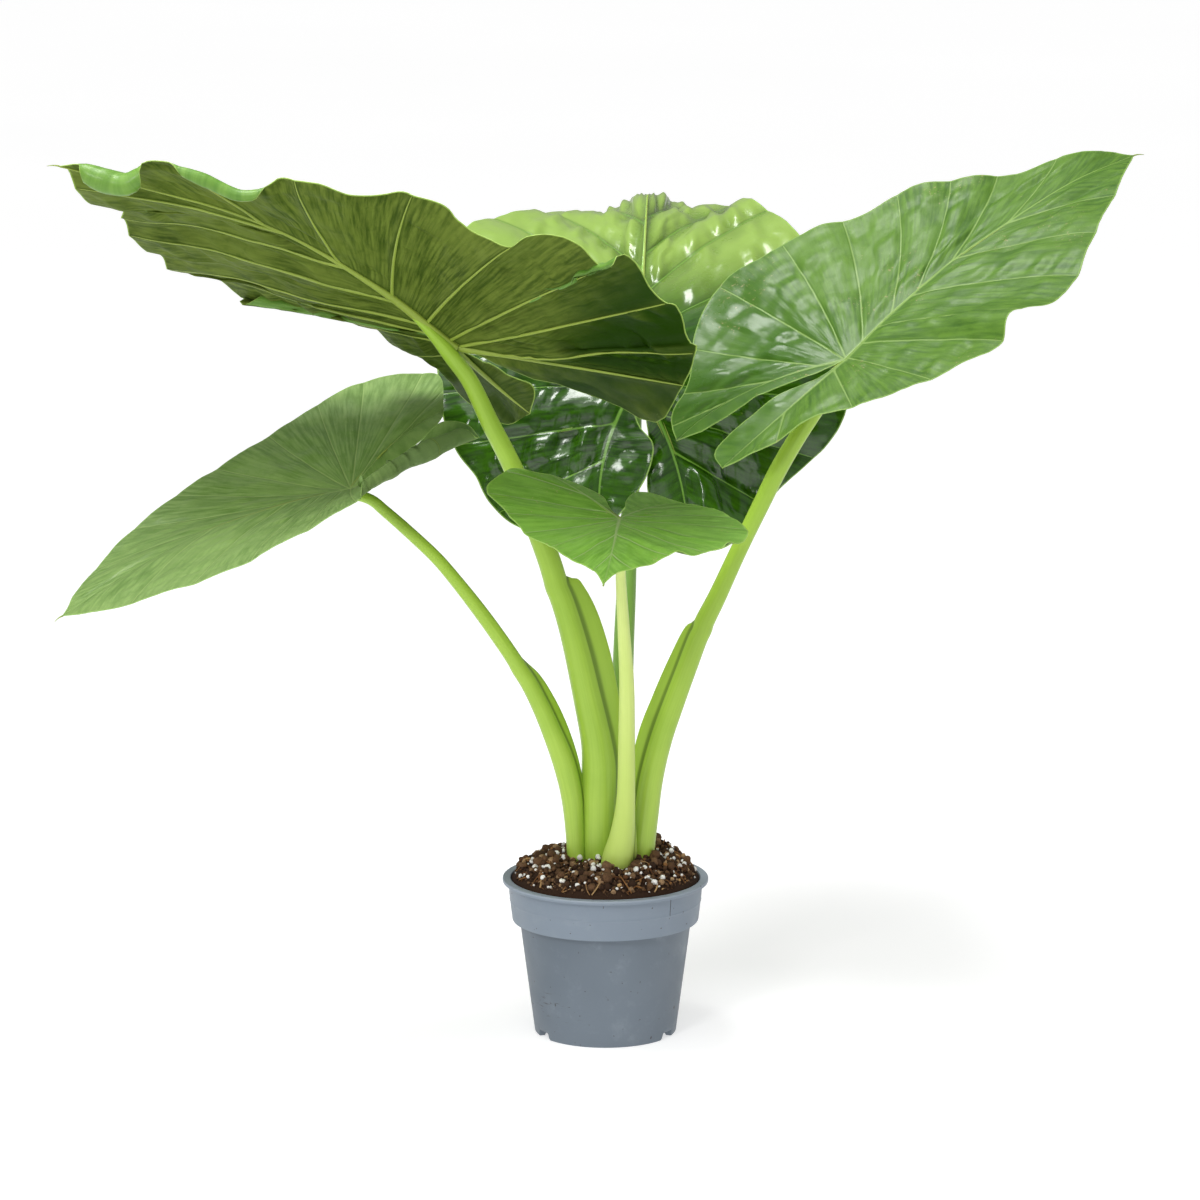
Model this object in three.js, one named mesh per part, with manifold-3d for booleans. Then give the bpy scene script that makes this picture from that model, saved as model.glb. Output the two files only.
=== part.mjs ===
// A night-scented lily: five arrow-shaped leaves on long fleshy stalks that rise from one
// short stem, in a 17 cm nursery pot filled with potting soil.
// Millimetres, +Z up, origin at the middle of the pot's underside, which stands on z = 0.
// The front is -Y and the right-hand leaf points to +X.
import * as THREE from 'three';
import { mergeVertices } from 'three/addons/utils/BufferGeometryUtils.js';
import Module from 'manifold-3d';

const wasm = await Module();
wasm.setup();

// Pot
const RIM_RADIUS = 85;
const POT_HEIGHT = 130.6;
const BASE_RADIUS = 58.6;
const STEP_HEIGHT = 95;
const STEP_INNER_RADIUS = 71;
const COLLAR_LOW_RADIUS = 77;
const COLLAR_TOP_RADIUS = 80.4;
const LIP_HEIGHT = 3.4;
const WALL = 2;
const FLOOR_LOW = 3;
const FLOOR_HIGH = 5;
const FOOT_WIDTH = 5;
const HUB_RADIUS = 15;
const POT_SIDES = 48;
const NOTCH_ANGLES = [-30, 90, 210];
const NOTCH_WIDTH = 15;
const NOTCH_HEIGHT = 6;
const NOTCH_REACH = 16;

// Clearance between pieces that touch. A stalk's head is cleared from its blade at each of these
// offsets of the blade, in gaps along the blade's own axes, because its folds are steep there.
const GAP = 0.3;
const HEAD_CLEARANCES = [[0, 0, 0], [-2, 0, 0], [0, 2, 0], [0, -2, 0]];

// Soil: a mound, whose radii are given as shares of its edge's radius
const SOIL_EDGE_Z = 127;
const SOIL_MOUND = 16;
const SOIL_MOUND_SHARES = [0.87, 0.72, 0.55, 0.3, 0];
const SOIL_SIDES = 44;

// Stem base, which the stalks grow from: [share of the radius, height] up its outline
const CROWN = { x: 3, y: -6, radius: 35, sides: 20 };
const CROWN_BOTTOM = 72;
const CROWN_TOP = 124.5;
const CROWN_OUTLINE = [[0.5, CROWN_BOTTOM], [0.85, 90], [1, 110.5], [1, 120.5], [0.92, CROWN_TOP]];

// Space between the stalks' feet, which the soil doesn't fill
const HEART = { x: 8, y: -4, radius: 16, bottom: CROWN_TOP - 5, top: 160, sides: 12 };

// Leaf blades
const BLADE_THICKNESS = 1.6;
const RIB_STEPS = 4;
const MIDRIB_STEPS = 13;
const ACROSS = [0, 0.06, 0.33, 0.66, 1];
const FAN_SHARE = 0.25;
const FAN_POWER = 2;
const VEIN_SWEEP = 0.1;
const MIDRIB_DEPTH = 6.5;
const RIB_DEPTH = 3.5;
const RIDGE_END = 1;

// Stalks
const STALK_SIDES = 14;
const STALK_FOOT_Z = CROWN_TOP + GAP;

const COLOURS = {
    pot: 0x6f7f90, soil: 0x3d2a1e, crown: 0xcfdc9a,
    leaf: 0x4f8a35, stalk: 0x93c152, paleStalk: 0xb9d877,
};

// Each blade has a frame at the point where its stalk joins: heading and pitch are the
// direction of the midrib, and roll lifts the half on its left. Points are [along the
// midrib, to the left, lift above the blade's plane]. A half's sinus edge runs from the
// stalk to the tip of its rear lobe, and its margin runs on from there to the leaf tip.
const LEAVES = [
    {
        name: 'left_upper', junction: [-121, -25, 575], heading: 190, pitch: 26, roll: 30,
        midrib: [[66, 11, 12], [150, 9, 24], [211, 7, 22], [277, 7, 10], [351, 13, -8]],
        left: {
            rib: [-82, 48, 4],
            sinus: [[-22, 5, 0], [-76, 7, 2], [-125, 22, 0], [-164, 48, -8], [-157, 125, -8]],
            margin: [[-151, 150, 0], [-138, 171, 6], [-110, 196, 14], [-70, 210, 20], [-41, 206, 16],
                [-9, 192, 26], [22, 158, 20], [60, 133, 32], [106, 121, 42], [142, 110, 24],
                [195, 83, 28], [220, 69, 12], [247, 63, 14], [288, 50, 10], [306, 36, -6], [341, 22, -6]],
        },
        right: {
            rib: [-52, -60, 14],
            sinus: [[-35, -21, 10], [-58, -27, 12], [-78, -27, 10], [-91, -61, 4]],
            margin: [[-81, -107, 4], [-48, -130, 20], [-14, -125, 38], [44, -117, 42], [106, -135, 42],
                [150, -154, 32], [181, -151, 40], [232, -133, 26], [275, -92, 26], [306, -60, 8],
                [330, -26, 0]],
        },
    },
    {
        name: 'right', junction: [193, -20, 564], heading: 22, pitch: 30, roll: 20,
        midrib: [[54, 10, 4], [129, 15, 10], [184, 13, 12], [249, 14, 8], [307, 12, -4]],
        left: {
            rib: [-72, 62, -6],
            sinus: [[-23, 9, -2], [-62, 33, -8], [-113, 57, -24], [-133, 76, -34]],
            margin: [[-124, 94, -28], [-93, 104, -12], [-64, 136, -4], [-12, 165, 4], [27, 155, 10],
                [76, 142, 14], [112, 122, 14], [148, 115, 18], [195, 82, 16], [231, 60, 6],
                [261, 49, 8], [292, 30, 0]],
        },
        right: {
            rib: [-60, -8, -2],
            sinus: [[-27, 3, -2], [-56, 16, -4], [-96, 22, -12], [-125, 24, -22], [-130, 6, -26]],
            margin: [[-99, -19, -14], [-60, -40, 0], [-16, -75, 10], [26, -105, 20], [81, -120, 22],
                [104, -110, 34], [139, -112, 18], [172, -99, 18], [212, -70, 18], [260, -30, 8]],
        },
    },
    {
        name: 'left_lower', junction: [-205, -32, 461], heading: 207, pitch: -16, roll: -18,
        midrib: [[40, -2, 6], [79, 1, 12], [136, 1, 14], [204, 9, 10], [269, 17, 0]],
        left: {
            rib: [-50, 16, 14],
            sinus: [[-27, -3, 3], [-57, 0, 13], [-93, -12, 19], [-107, 5, 20], [-108, 23, 17]],
            margin: [[-84, 36, 24], [-42, 53, 34], [10, 78, 44], [65, 101, 50], [124, 108, 48],
                [185, 99, 40], [244, 58, 18]],
        },
        right: {
            rib: [-70, -58, -4],
            sinus: [[-32, -15, -4], [-72, -33, -8], [-114, -58, -10], [-124, -71, -10]],
            margin: [[-145, -120, -8], [-120, -136, -6], [-75, -142, -4], [-4, -122, -2], [55, -99, 2],
                [124, -73, 4], [170, -54, 2], [223, -23, 0]],
        },
    },
    {
        name: 'back', junction: [25, 110, 525], heading: 90, pitch: 26, roll: 0,
        midrib: [[96, -7, -10], [167, -7, -4], [233, -10, 10], [285, -12, 6], [365, -14, -78]],
        left: {
            rib: [-40, 39, -49],
            sinus: [[-14, 1, -9], [-20, 1, -18], [-26, -4, -26], [-35, -14, -34], [-43, -14, -45],
                [-56, -5, -64], [-76, 28, -101]],
            margin: [[-77, 55, -103], [-73, 95, -96], [-44, 122, -90], [-25, 133, -76], [-8, 151, -60],
                [29, 163, -36], [96, 166, -10], [171, 159, 2], [231, 142, 4], [273, 100, -10],
                [318, 54, -38]],
        },
        right: {
            rib: [-31, -41, -39],
            sinus: [[-13, -7, -11], [-18, -9, -21], [-26, -11, -39], [-37, -11, -56], [-50, -10, -73],
                [-68, -22, -99], [-81, -46, -115]],
            margin: [[-89, -79, -102], [-54, -103, -96], [-30, -122, -84], [-1, -160, -62],
                [23, -178, -40], [96, -179, -10], [171, -160, 2], [219, -140, 8], [271, -106, 4],
                [315, -66, -30]],
        },
    },
    {
        name: 'front', junction: [11, -115, 451], heading: 266, pitch: -7, roll: 0,
        midrib: [[32, 0, 0], [80, 0, 0], [126, 0, 0], [174, -1, 0]],
        left: {
            rib: [-28, 18, 2],
            sinus: [[-29, 2, 0], [-54, 2, 0], [-75, 9, 0], [-70, 24, 0], [-51, 47, -2]],
            margin: [[-16, 83, 2], [35, 102, 2], [65, 99, 0], [99, 75, 3], [118, 46, 6], [142, 20, 2]],
        },
        right: {
            rib: [-28, -26, 10],
            sinus: [[-20, -8, 2], [-39, -16, 7], [-47, -31, 12], [-60, -60, 18]],
            margin: [[-66, -95, 20], [-44, -109, 11], [11, -86, 3], [59, -63, -4], [101, -36, -2],
                [154, -6, 0]],
        },
    },
];

// Each stalk is a list of [x, y, z, radius, sheath] from just under the blade down. Its head,
// of the first radius, lies under the point where the blade's midrib starts. The sheath is a
// wing that stands out by that much on the side that faces the other stalks.
const STALKS = {
    front: {
        colour: COLOURS.paleStalk, toward: [0.8, 0.6],
        path: [[12, -114, 438, 3.6, 0], [12, -106, 422, 3.7, 0], [12, -95, 402, 4, 0],
            [14.5, -78, 354, 5, 0], [17, -62, 308, 6, 0], [17, -46, 253, 6.9, 0],
            [14, -35, 203, 9.6, 1], [6, -29, 168, 12.5, 2], [3, -28, 144, 13.5, 2],
            [3, -27, STALK_FOOT_Z, 13.5, 1]],
    },
    left_upper: {
        colour: COLOURS.stalk, toward: [0.97, 0.25],
        path: [[-110, -22, 548, 6.8, 0], [-93, -19, 512, 7.4, 0], [-75, -16, 475, 7.9, 0],
            [-59, -15, 434, 8.8, 0], [-46, -14, 399, 9.4, 0], [-41, -13, 382, 9.6, 0],
            [-40, -13, 378, 9.7, 7], [-36, -12, 368, 9.8, 11], [-30, -11, 349, 10.1, 14.5],
            [-22, -10, 318, 11, 15.5], [-14, -8, 281, 12, 14], [-7, -6, 247, 13.3, 11],
            [-4, -5, 227, 14, 9], [-3, -3, 192, 14, 6], [-3, -1, 153, 13.5, 3],
            [-3, 0, STALK_FOOT_Z, 12, 2]],
    },
    right: {
        colour: COLOURS.stalk, toward: [-0.97, 0.25],
        path: [[180, -20, 538, 6.3, 0], [159, -19, 507, 6.9, 0], [141, -18, 476, 7.2, 0],
            [126, -17, 445, 7, 0], [109, -16, 409, 6.9, 0], [91, -15, 369, 7.5, 0],
            [80, -14, 346, 8.2, 0], [79, -14, 342, 8.3, 3], [76, -13, 336, 8.4, 5],
            [66, -12, 309, 8.7, 7.6], [55, -10, 278, 9.2, 9], [45, -9, 248, 9.6, 9.6],
            [37, -8, 214, 10.2, 8], [33, -8, 184, 10.5, 5], [30, -8, 155, 10.5, 3],
            [29, -8, STALK_FOOT_Z, 9, 2]],
    },
    left_lower: {
        colour: COLOURS.stalk, toward: [0.85, 0.5],
        path: [[-190, -32, 452, 4.4, 0], [-178, -31, 442, 4.6, 0], [-156, -30, 422, 4.9, 0],
            [-136, -28, 402, 5.1, 0], [-119, -26, 381, 5.4, 0], [-104, -24, 361, 5.8, 0],
            [-90, -22, 341, 6.1, 0], [-75, -20, 318, 6.3, 0], [-70, -19, 309, 6.6, 2.5],
            [-63, -18, 298, 6.9, 5.5], [-54, -17, 280, 7.3, 7.3], [-45, -16, 259, 8, 7.5],
            [-34, -14, 229, 9, 4], [-28, -13, 202, 8.6, 2], [-25, -11, 167, 7.4, 1],
            [-24, -11, STALK_FOOT_Z, 7, 1]],
    },
    back: {
        colour: COLOURS.stalk, toward: [-0.3, -0.95],
        path: [[24.5, 115.5, 503, 5.8, 0], [24, 116.5, 483, 6.2, 0], [23, 115.5, 460, 6.6, 0],
            [21.5, 111, 435, 7, 0], [20, 103, 408, 7.4, 0], [18.5, 90, 385, 7.8, 0],
            [17, 70, 350, 8.2, 0], [15, 50, 308, 8.6, 0], [14, 35, 265, 8.9, 0],
            [14, 29.5, 237, 9.5, 2], [16, 24, 186, 10, 3], [17, 21, 148, 10, 2],
            [17, 21, STALK_FOOT_Z, 9, 1]],
    },
};

function vector(list) {
    return new THREE.Vector3(list[0], list[1], list[2]);
}

function smoothCurve(points) {
    const curve = new THREE.CatmullRomCurve3(points, false, 'centripetal');
    curve.arcLengthDivisions = 300;
    return curve;
}

// Geometry helpers
function indexed(positions, triangles) {
    const geometry = new THREE.BufferGeometry();
    geometry.setAttribute('position', new THREE.Float32BufferAttribute(positions, 3));
    geometry.setIndex(triangles);
    return geometry;
}

function toManifold(geometry) {
    const bare = geometry.clone();
    bare.deleteAttribute('normal');
    bare.deleteAttribute('uv');
    const merged = mergeVertices(bare, 1e-4);
    const vertProperties = new Float32Array(merged.attributes.position.array);
    const triVerts = new Uint32Array(merged.index.array);
    return new wasm.Manifold(new wasm.Mesh({ numProp: 3, vertProperties, triVerts }));
}

function fromManifold(solid) {
    const mesh = solid.getMesh();
    return indexed(Array.from(mesh.vertProperties), Array.from(mesh.triVerts));
}

function lathe(profile, sides) {
    const points = profile.map(([radius, z]) => new THREE.Vector2(radius, z));
    return new THREE.LatheGeometry(points, sides).rotateX(Math.PI / 2);
}

// Blade surface in the blade's own frame
function bladeHalf(leaf, sign) {
    const half = sign > 0 ? leaf.left : leaf.right;
    const tip = leaf.midrib[leaf.midrib.length - 1];
    const lobeTip = half.sinus[half.sinus.length - 1];
    const midrib = smoothCurve([[0, 0, 0], ...leaf.midrib].map(vector));
    const margin = smoothCurve([lobeTip, ...half.margin, tip].map(vector));
    const sinus = smoothCurve([[0, 0, 0], ...half.sinus].map(vector));
    const rib = new THREE.QuadraticBezierCurve3(vector([0, 0, 0]), vector(half.rib), vector(lobeTip));

    function spine(s) {
        if (s < FAN_SHARE) {
            return rib.getPoint(1 - s / FAN_SHARE);
        }
        return midrib.getPointAt(((s - FAN_SHARE) / (1 - FAN_SHARE)) ** FAN_POWER);
    }

    // From the spine (t = 0) along a vein to the margin (t = 1)
    function outer(s, t) {
        const start = spine(s);
        const end = margin.getPointAt(s);
        const bend = start.clone().lerp(end, 0.5);
        bend.x -= VEIN_SWEEP * start.distanceTo(end);
        return new THREE.QuadraticBezierCurve3(start, bend, end).getPoint(t);
    }

    // From the lobe's rib (t = 0) to the sinus edge (t = 1)
    function inner(r, t) {
        return rib.getPoint(r).lerp(sinus.getPointAt(r), t);
    }
    return { outer, inner };
}

// Collects quads into one welded sheet that faces up, with the ridge depth at each point
function bladeSheet(leaf) {
    const points = [];
    const depths = [];
    const lookup = new Map();
    const triangles = [];

    function add(point, depth) {
        const key = [point.x, point.y, point.z].map((v) => v.toFixed(3)).join(' ');
        if (!lookup.has(key)) {
            lookup.set(key, points.length);
            points.push(point);
            depths.push(depth);
        }
        return lookup.get(key);
    }

    function triangle(a, b, c, sign) {
        if (a !== b && b !== c && c !== a) {
            triangles.push(sign > 0 ? [a, b, c] : [a, c, b]);
        }
    }

    function grid(rows, sign) {
        for (let i = 0; i + 1 < rows.length; i++) {
            for (let j = 0; j + 1 < ACROSS.length; j++) {
                triangle(rows[i][j], rows[i + 1][j], rows[i + 1][j + 1], sign);
                triangle(rows[i][j], rows[i + 1][j + 1], rows[i][j + 1], sign);
            }
        }
    }

    for (const sign of [1, -1]) {
        const half = bladeHalf(leaf, sign);
        const steps = [];
        for (let i = 0; i <= RIB_STEPS; i++) {
            steps.push((FAN_SHARE * i) / RIB_STEPS);
        }
        for (let i = 1; i <= MIDRIB_STEPS; i++) {
            steps.push(FAN_SHARE + ((1 - FAN_SHARE) * i) / MIDRIB_STEPS);
        }
        const ridge = (s) => (s < FAN_SHARE
            ? RIB_DEPTH * (s / FAN_SHARE) + RIDGE_END
            : MIDRIB_DEPTH * (1 - (s - FAN_SHARE) / (1 - FAN_SHARE)) + RIDGE_END);
        const edge = BLADE_THICKNESS / 2;
        grid(steps.map((s) => ACROSS.map((t) => add(half.outer(s, t), t === 0 ? ridge(s) : edge))), sign);
        const ribSteps = steps.slice(0, RIB_STEPS + 1).reverse().map((s) => 1 - s / FAN_SHARE);
        grid(ribSteps.map((r) => ACROSS.map((t) => add(half.inner(r, t), edge))), sign);
    }
    return { points, depths, triangles };
}

// Gives a sheet its thickness: half above, and each point's depth below
function thicken(sheet, grow) {
    const normals = sheet.points.map(() => new THREE.Vector3());
    const edges = new Map();
    for (const [a, b, c] of sheet.triangles) {
        const ab = sheet.points[b].clone().sub(sheet.points[a]);
        const ac = sheet.points[c].clone().sub(sheet.points[a]);
        const normal = ab.cross(ac);
        for (const k of [a, b, c]) {
            normals[k].add(normal);
        }
        for (const [p, q] of [[a, b], [b, c], [c, a]]) {
            edges.set(`${p} ${q}`, [p, q]);
        }
    }
    const count = sheet.points.length;
    const positions = [];
    for (const level of [BLADE_THICKNESS / 2 + grow, null]) {
        sheet.points.forEach((point, k) => {
            const lift = level ?? -(sheet.depths[k] + grow);
            positions.push(...point.clone().addScaledVector(normals[k].normalize(), lift).toArray());
        });
    }
    const triangles = [];
    for (const [a, b, c] of sheet.triangles) {
        triangles.push(a, b, c, count + a, count + c, count + b);
    }
    for (const [p, q] of edges.values()) {
        if (!edges.has(`${q} ${p}`)) {
            triangles.push(p, count + p, count + q, p, count + q, q);
        }
    }
    return indexed(positions, triangles);
}

function bladeMatrix(leaf) {
    const heading = THREE.MathUtils.degToRad(leaf.heading);
    const pitch = THREE.MathUtils.degToRad(leaf.pitch);
    const along = new THREE.Vector3(
        Math.cos(pitch) * Math.cos(heading), Math.cos(pitch) * Math.sin(heading), Math.sin(pitch));
    const left = new THREE.Vector3(-Math.sin(heading), Math.cos(heading), 0);
    const up = along.clone().cross(left);
    const roll = new THREE.Matrix4().makeRotationAxis(along, THREE.MathUtils.degToRad(leaf.roll));
    return new THREE.Matrix4().makeBasis(along, left, up).premultiply(roll).setPosition(...leaf.junction);
}

function bladeGeometry(leaf, grow = 0) {
    return thicken(bladeSheet(leaf), grow).applyMatrix4(bladeMatrix(leaf));
}

// A stalk: round above, with the sheath's wing below, its foot level
function stalkGeometry(name, grow = 0) {
    const stalk = STALKS[name];
    const frame = bladeMatrix(LEAVES.find((leaf) => leaf.name === name));
    const headRadius = stalk.path[0][3];
    const headDrop = headRadius + BLADE_THICKNESS / 2 + 2 * GAP;
    const stations = [new THREE.Vector3(0, 0, -headDrop).applyMatrix4(frame)];
    const sizes = [[headRadius, 0]];
    for (const [x, y, z, radius, sheath] of stalk.path) {
        stations.push(new THREE.Vector3(x, y, z));
        sizes.push([radius, sheath]);
    }
    const toward = new THREE.Vector3(...stalk.toward, 0).normalize();
    const positions = [];
    const triangles = [];
    const last = stations.length - 1;

    stations.forEach((centre, i) => {
        const before = stations[Math.max(i - 1, 0)];
        const after = stations[Math.min(i + 1, last)];
        const tangent = after.clone().sub(before).normalize();
        if (i >= last - 1) {
            tangent.set(0, 0, -1);
        }
        const axis = toward.clone().addScaledVector(tangent, -toward.dot(tangent)).normalize();
        const side = new THREE.Vector3().crossVectors(tangent, axis);
        const radius = sizes[i][0] + grow;
        for (let k = 0; k < STALK_SIDES; k++) {
            const angle = (2 * Math.PI * k) / STALK_SIDES;
            const out = Math.max(Math.cos(angle), 0) ** 2;
            const x = radius * Math.cos(angle) + sizes[i][1] * out;
            const y = radius * Math.sin(angle);
            const point = centre.clone().addScaledVector(axis, x).addScaledVector(side, y);
            positions.push(...point.toArray());
        }
    });
    const foot = stations[last].clone();
    const head = stations[0].clone();
    positions.push(...head.toArray(), ...foot.toArray());
    const headIndex = stations.length * STALK_SIDES;
    for (let k = 0; k < STALK_SIDES; k++) {
        const next = (k + 1) % STALK_SIDES;
        for (let i = 0; i < last; i++) {
            const a = i * STALK_SIDES + k;
            const b = i * STALK_SIDES + next;
            const c = a + STALK_SIDES;
            const d = b + STALK_SIDES;
            triangles.push(a, b, d, a, d, c);
        }
        triangles.push(headIndex, next, k);
        const base = last * STALK_SIDES;
        triangles.push(headIndex + 1, base + k, base + next);
    }
    return indexed(positions, triangles);
}

// Pot: stepped wall with a collar and a flat lip, a raised floor, and drain notches
function potGeometry() {
    const lipLow = POT_HEIGHT - LIP_HEIGHT;
    const inner = STEP_INNER_RADIUS - WALL;
    const shell = lathe([
        [0, 0], [HUB_RADIUS, 0], [HUB_RADIUS + 1, FLOOR_LOW], [BASE_RADIUS - FOOT_WIDTH - 1, FLOOR_LOW],
        [BASE_RADIUS - FOOT_WIDTH, 0], [BASE_RADIUS, 0], [STEP_INNER_RADIUS, STEP_HEIGHT],
        [COLLAR_LOW_RADIUS, STEP_HEIGHT], [COLLAR_TOP_RADIUS, lipLow], [RIM_RADIUS, lipLow],
        [RIM_RADIUS, POT_HEIGHT], [COLLAR_TOP_RADIUS - WALL, POT_HEIGHT],
        [COLLAR_LOW_RADIUS - WALL, STEP_HEIGHT + WALL], [inner, STEP_HEIGHT + WALL],
        [BASE_RADIUS - WALL, FLOOR_HIGH], [0, FLOOR_HIGH],
    ], POT_SIDES);
    let pot = toManifold(shell);
    for (const degrees of NOTCH_ANGLES) {
        const notch = new THREE.BoxGeometry(NOTCH_REACH, NOTCH_WIDTH, 2 * NOTCH_HEIGHT);
        notch.translate(BASE_RADIUS, 0, 0).rotateZ(THREE.MathUtils.degToRad(degrees));
        pot = pot.subtract(toManifold(notch));
    }
    return fromManifold(pot);
}

function crownGeometry(grow = 0) {
    const heights = new Map([[CROWN_BOTTOM, CROWN_BOTTOM - grow], [CROWN_TOP, CROWN_TOP + grow]]);
    const outline = CROWN_OUTLINE.map(([share, z]) => [share * CROWN.radius + grow, heights.get(z) ?? z]);
    const profile = [[0, CROWN_BOTTOM - grow], ...outline, [0, CROWN_TOP + grow]];
    return lathe(profile, CROWN.sides).translate(CROWN.x, CROWN.y, 0);
}

function soilGeometry() {
    const clearance = WALL + GAP;
    const edge = COLLAR_TOP_RADIUS - clearance - GAP;
    const outline = [
        [0, FLOOR_HIGH + GAP], [BASE_RADIUS - clearance, FLOOR_HIGH + GAP],
        [STEP_INNER_RADIUS - clearance, STEP_HEIGHT + clearance],
        [COLLAR_LOW_RADIUS - clearance, STEP_HEIGHT + clearance], [edge, SOIL_EDGE_Z],
    ];
    for (const share of SOIL_MOUND_SHARES) {
        outline.push([edge * share, SOIL_EDGE_Z + SOIL_MOUND * (1 - share ** 3)]);
    }
    let soil = toManifold(lathe(outline, SOIL_SIDES));
    soil = soil.subtract(toManifold(crownGeometry(GAP)));
    for (const name of Object.keys(STALKS)) {
        soil = soil.subtract(toManifold(stalkGeometry(name, GAP)));
    }
    const { radius, bottom, top } = HEART;
    const heart = lathe([[0, bottom], [radius, bottom], [radius, top], [0, top]], HEART.sides);
    return fromManifold(soil.subtract(toManifold(heart.translate(HEART.x, HEART.y, 0))));
}

const group = new THREE.Group();

function addMesh(name, geometry, color, roughness) {
    geometry.computeVertexNormals();
    const mesh = new THREE.Mesh(geometry, new THREE.MeshStandardMaterial({ color, roughness, metalness: 0 }));
    mesh.name = name;
    group.add(mesh);
}

addMesh('pot', potGeometry(), COLOURS.pot, 0.55);
addMesh('soil', soilGeometry(), COLOURS.soil, 0.95);
addMesh('stem_base', crownGeometry(), COLOURS.crown, 0.6);

const placed = [];
for (const [name, stalk] of Object.entries(STALKS)) {
    const leaf = LEAVES.find((entry) => entry.name === name);
    const frame = bladeMatrix(leaf).setPosition(0, 0, 0);
    let solid = toManifold(stalkGeometry(name));
    for (const shift of HEAD_CLEARANCES) {
        const offset = vector(shift).multiplyScalar(GAP).applyMatrix4(frame);
        solid = solid.subtract(toManifold(bladeGeometry(leaf, GAP).translate(...offset)));
    }
    for (const other of placed) {
        solid = solid.subtract(toManifold(stalkGeometry(other, GAP)));
    }
    placed.push(name);
    addMesh(`stalk_${name}`, fromManifold(solid), stalk.colour, 0.45);
    addMesh(`blade_${name}`, bladeGeometry(leaf), COLOURS.leaf, 0.4);
}

export default group;
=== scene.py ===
"""The looks of a potted night-scented lily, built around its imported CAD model.

Lengths in the tables are millimetres, in the model's frame: +Z up, origin at the middle of the
pot's underside, front at -Y. MM turns them into Blender's metres.
"""
import math

import bmesh
import bpy
import numpy as np
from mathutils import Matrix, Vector


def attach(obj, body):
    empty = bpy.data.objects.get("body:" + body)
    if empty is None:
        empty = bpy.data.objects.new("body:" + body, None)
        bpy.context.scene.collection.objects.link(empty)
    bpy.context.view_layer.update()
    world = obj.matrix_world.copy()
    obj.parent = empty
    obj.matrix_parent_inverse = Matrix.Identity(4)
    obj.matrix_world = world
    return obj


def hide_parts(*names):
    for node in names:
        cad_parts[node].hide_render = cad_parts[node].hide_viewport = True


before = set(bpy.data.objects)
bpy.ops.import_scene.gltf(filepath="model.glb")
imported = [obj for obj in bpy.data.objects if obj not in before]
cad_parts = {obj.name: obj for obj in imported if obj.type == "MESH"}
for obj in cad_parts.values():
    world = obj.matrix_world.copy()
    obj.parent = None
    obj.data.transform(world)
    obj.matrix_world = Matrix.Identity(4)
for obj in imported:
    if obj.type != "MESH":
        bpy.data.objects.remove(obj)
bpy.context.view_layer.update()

MM = 0.001

# Camera: fitted to the photograph's pot ellipses
CAMERA_PLACE = (-4.5, -4000, 1137)
CAMERA_PITCH = 10.95
CAMERA_LENS = 149.43
CAMERA_SENSOR = 36

# Pot, as in the CAD model
RIM_RADIUS = 85
POT_HEIGHT = 130.6
BASE_RADIUS = 58.6
STEP_HEIGHT = 95
STEP_INNER_RADIUS = 71
COLLAR_LOW_RADIUS = 77
COLLAR_TOP_RADIUS = 80.4
LIP_HEIGHT = 3.4
WALL = 2
FLOOR_LOW = 3
FLOOR_HIGH = 5
FOOT_WIDTH = 5
HUB_RADIUS = 15
NOTCH_ANGLES = (-30, 90, 210)
NOTCH_WIDTH = 15
NOTCH_HEIGHT = 6
POT_SIDES = 288
SEAM = (math.cos(math.radians(41.6)), math.sin(math.radians(41.6)))

# Soil
SOIL_RADIUS = 77.5
SOIL_EDGE_Z = 131.3
SOIL_MOUND = 18.5
SOIL_BOTTOM_Z = 5.5

# Blades: the share of a margin that the rear lobe takes, and how the rest spreads on the midrib
FAN_SHARE = 0.25
FAN_POWER = 2
BLADE_THICKNESS = 0.9
MARGIN_THICKNESS = 0.5
MIDRIB_DEPTH = 1.15
VEIN_DEPTH = 0.9

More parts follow.
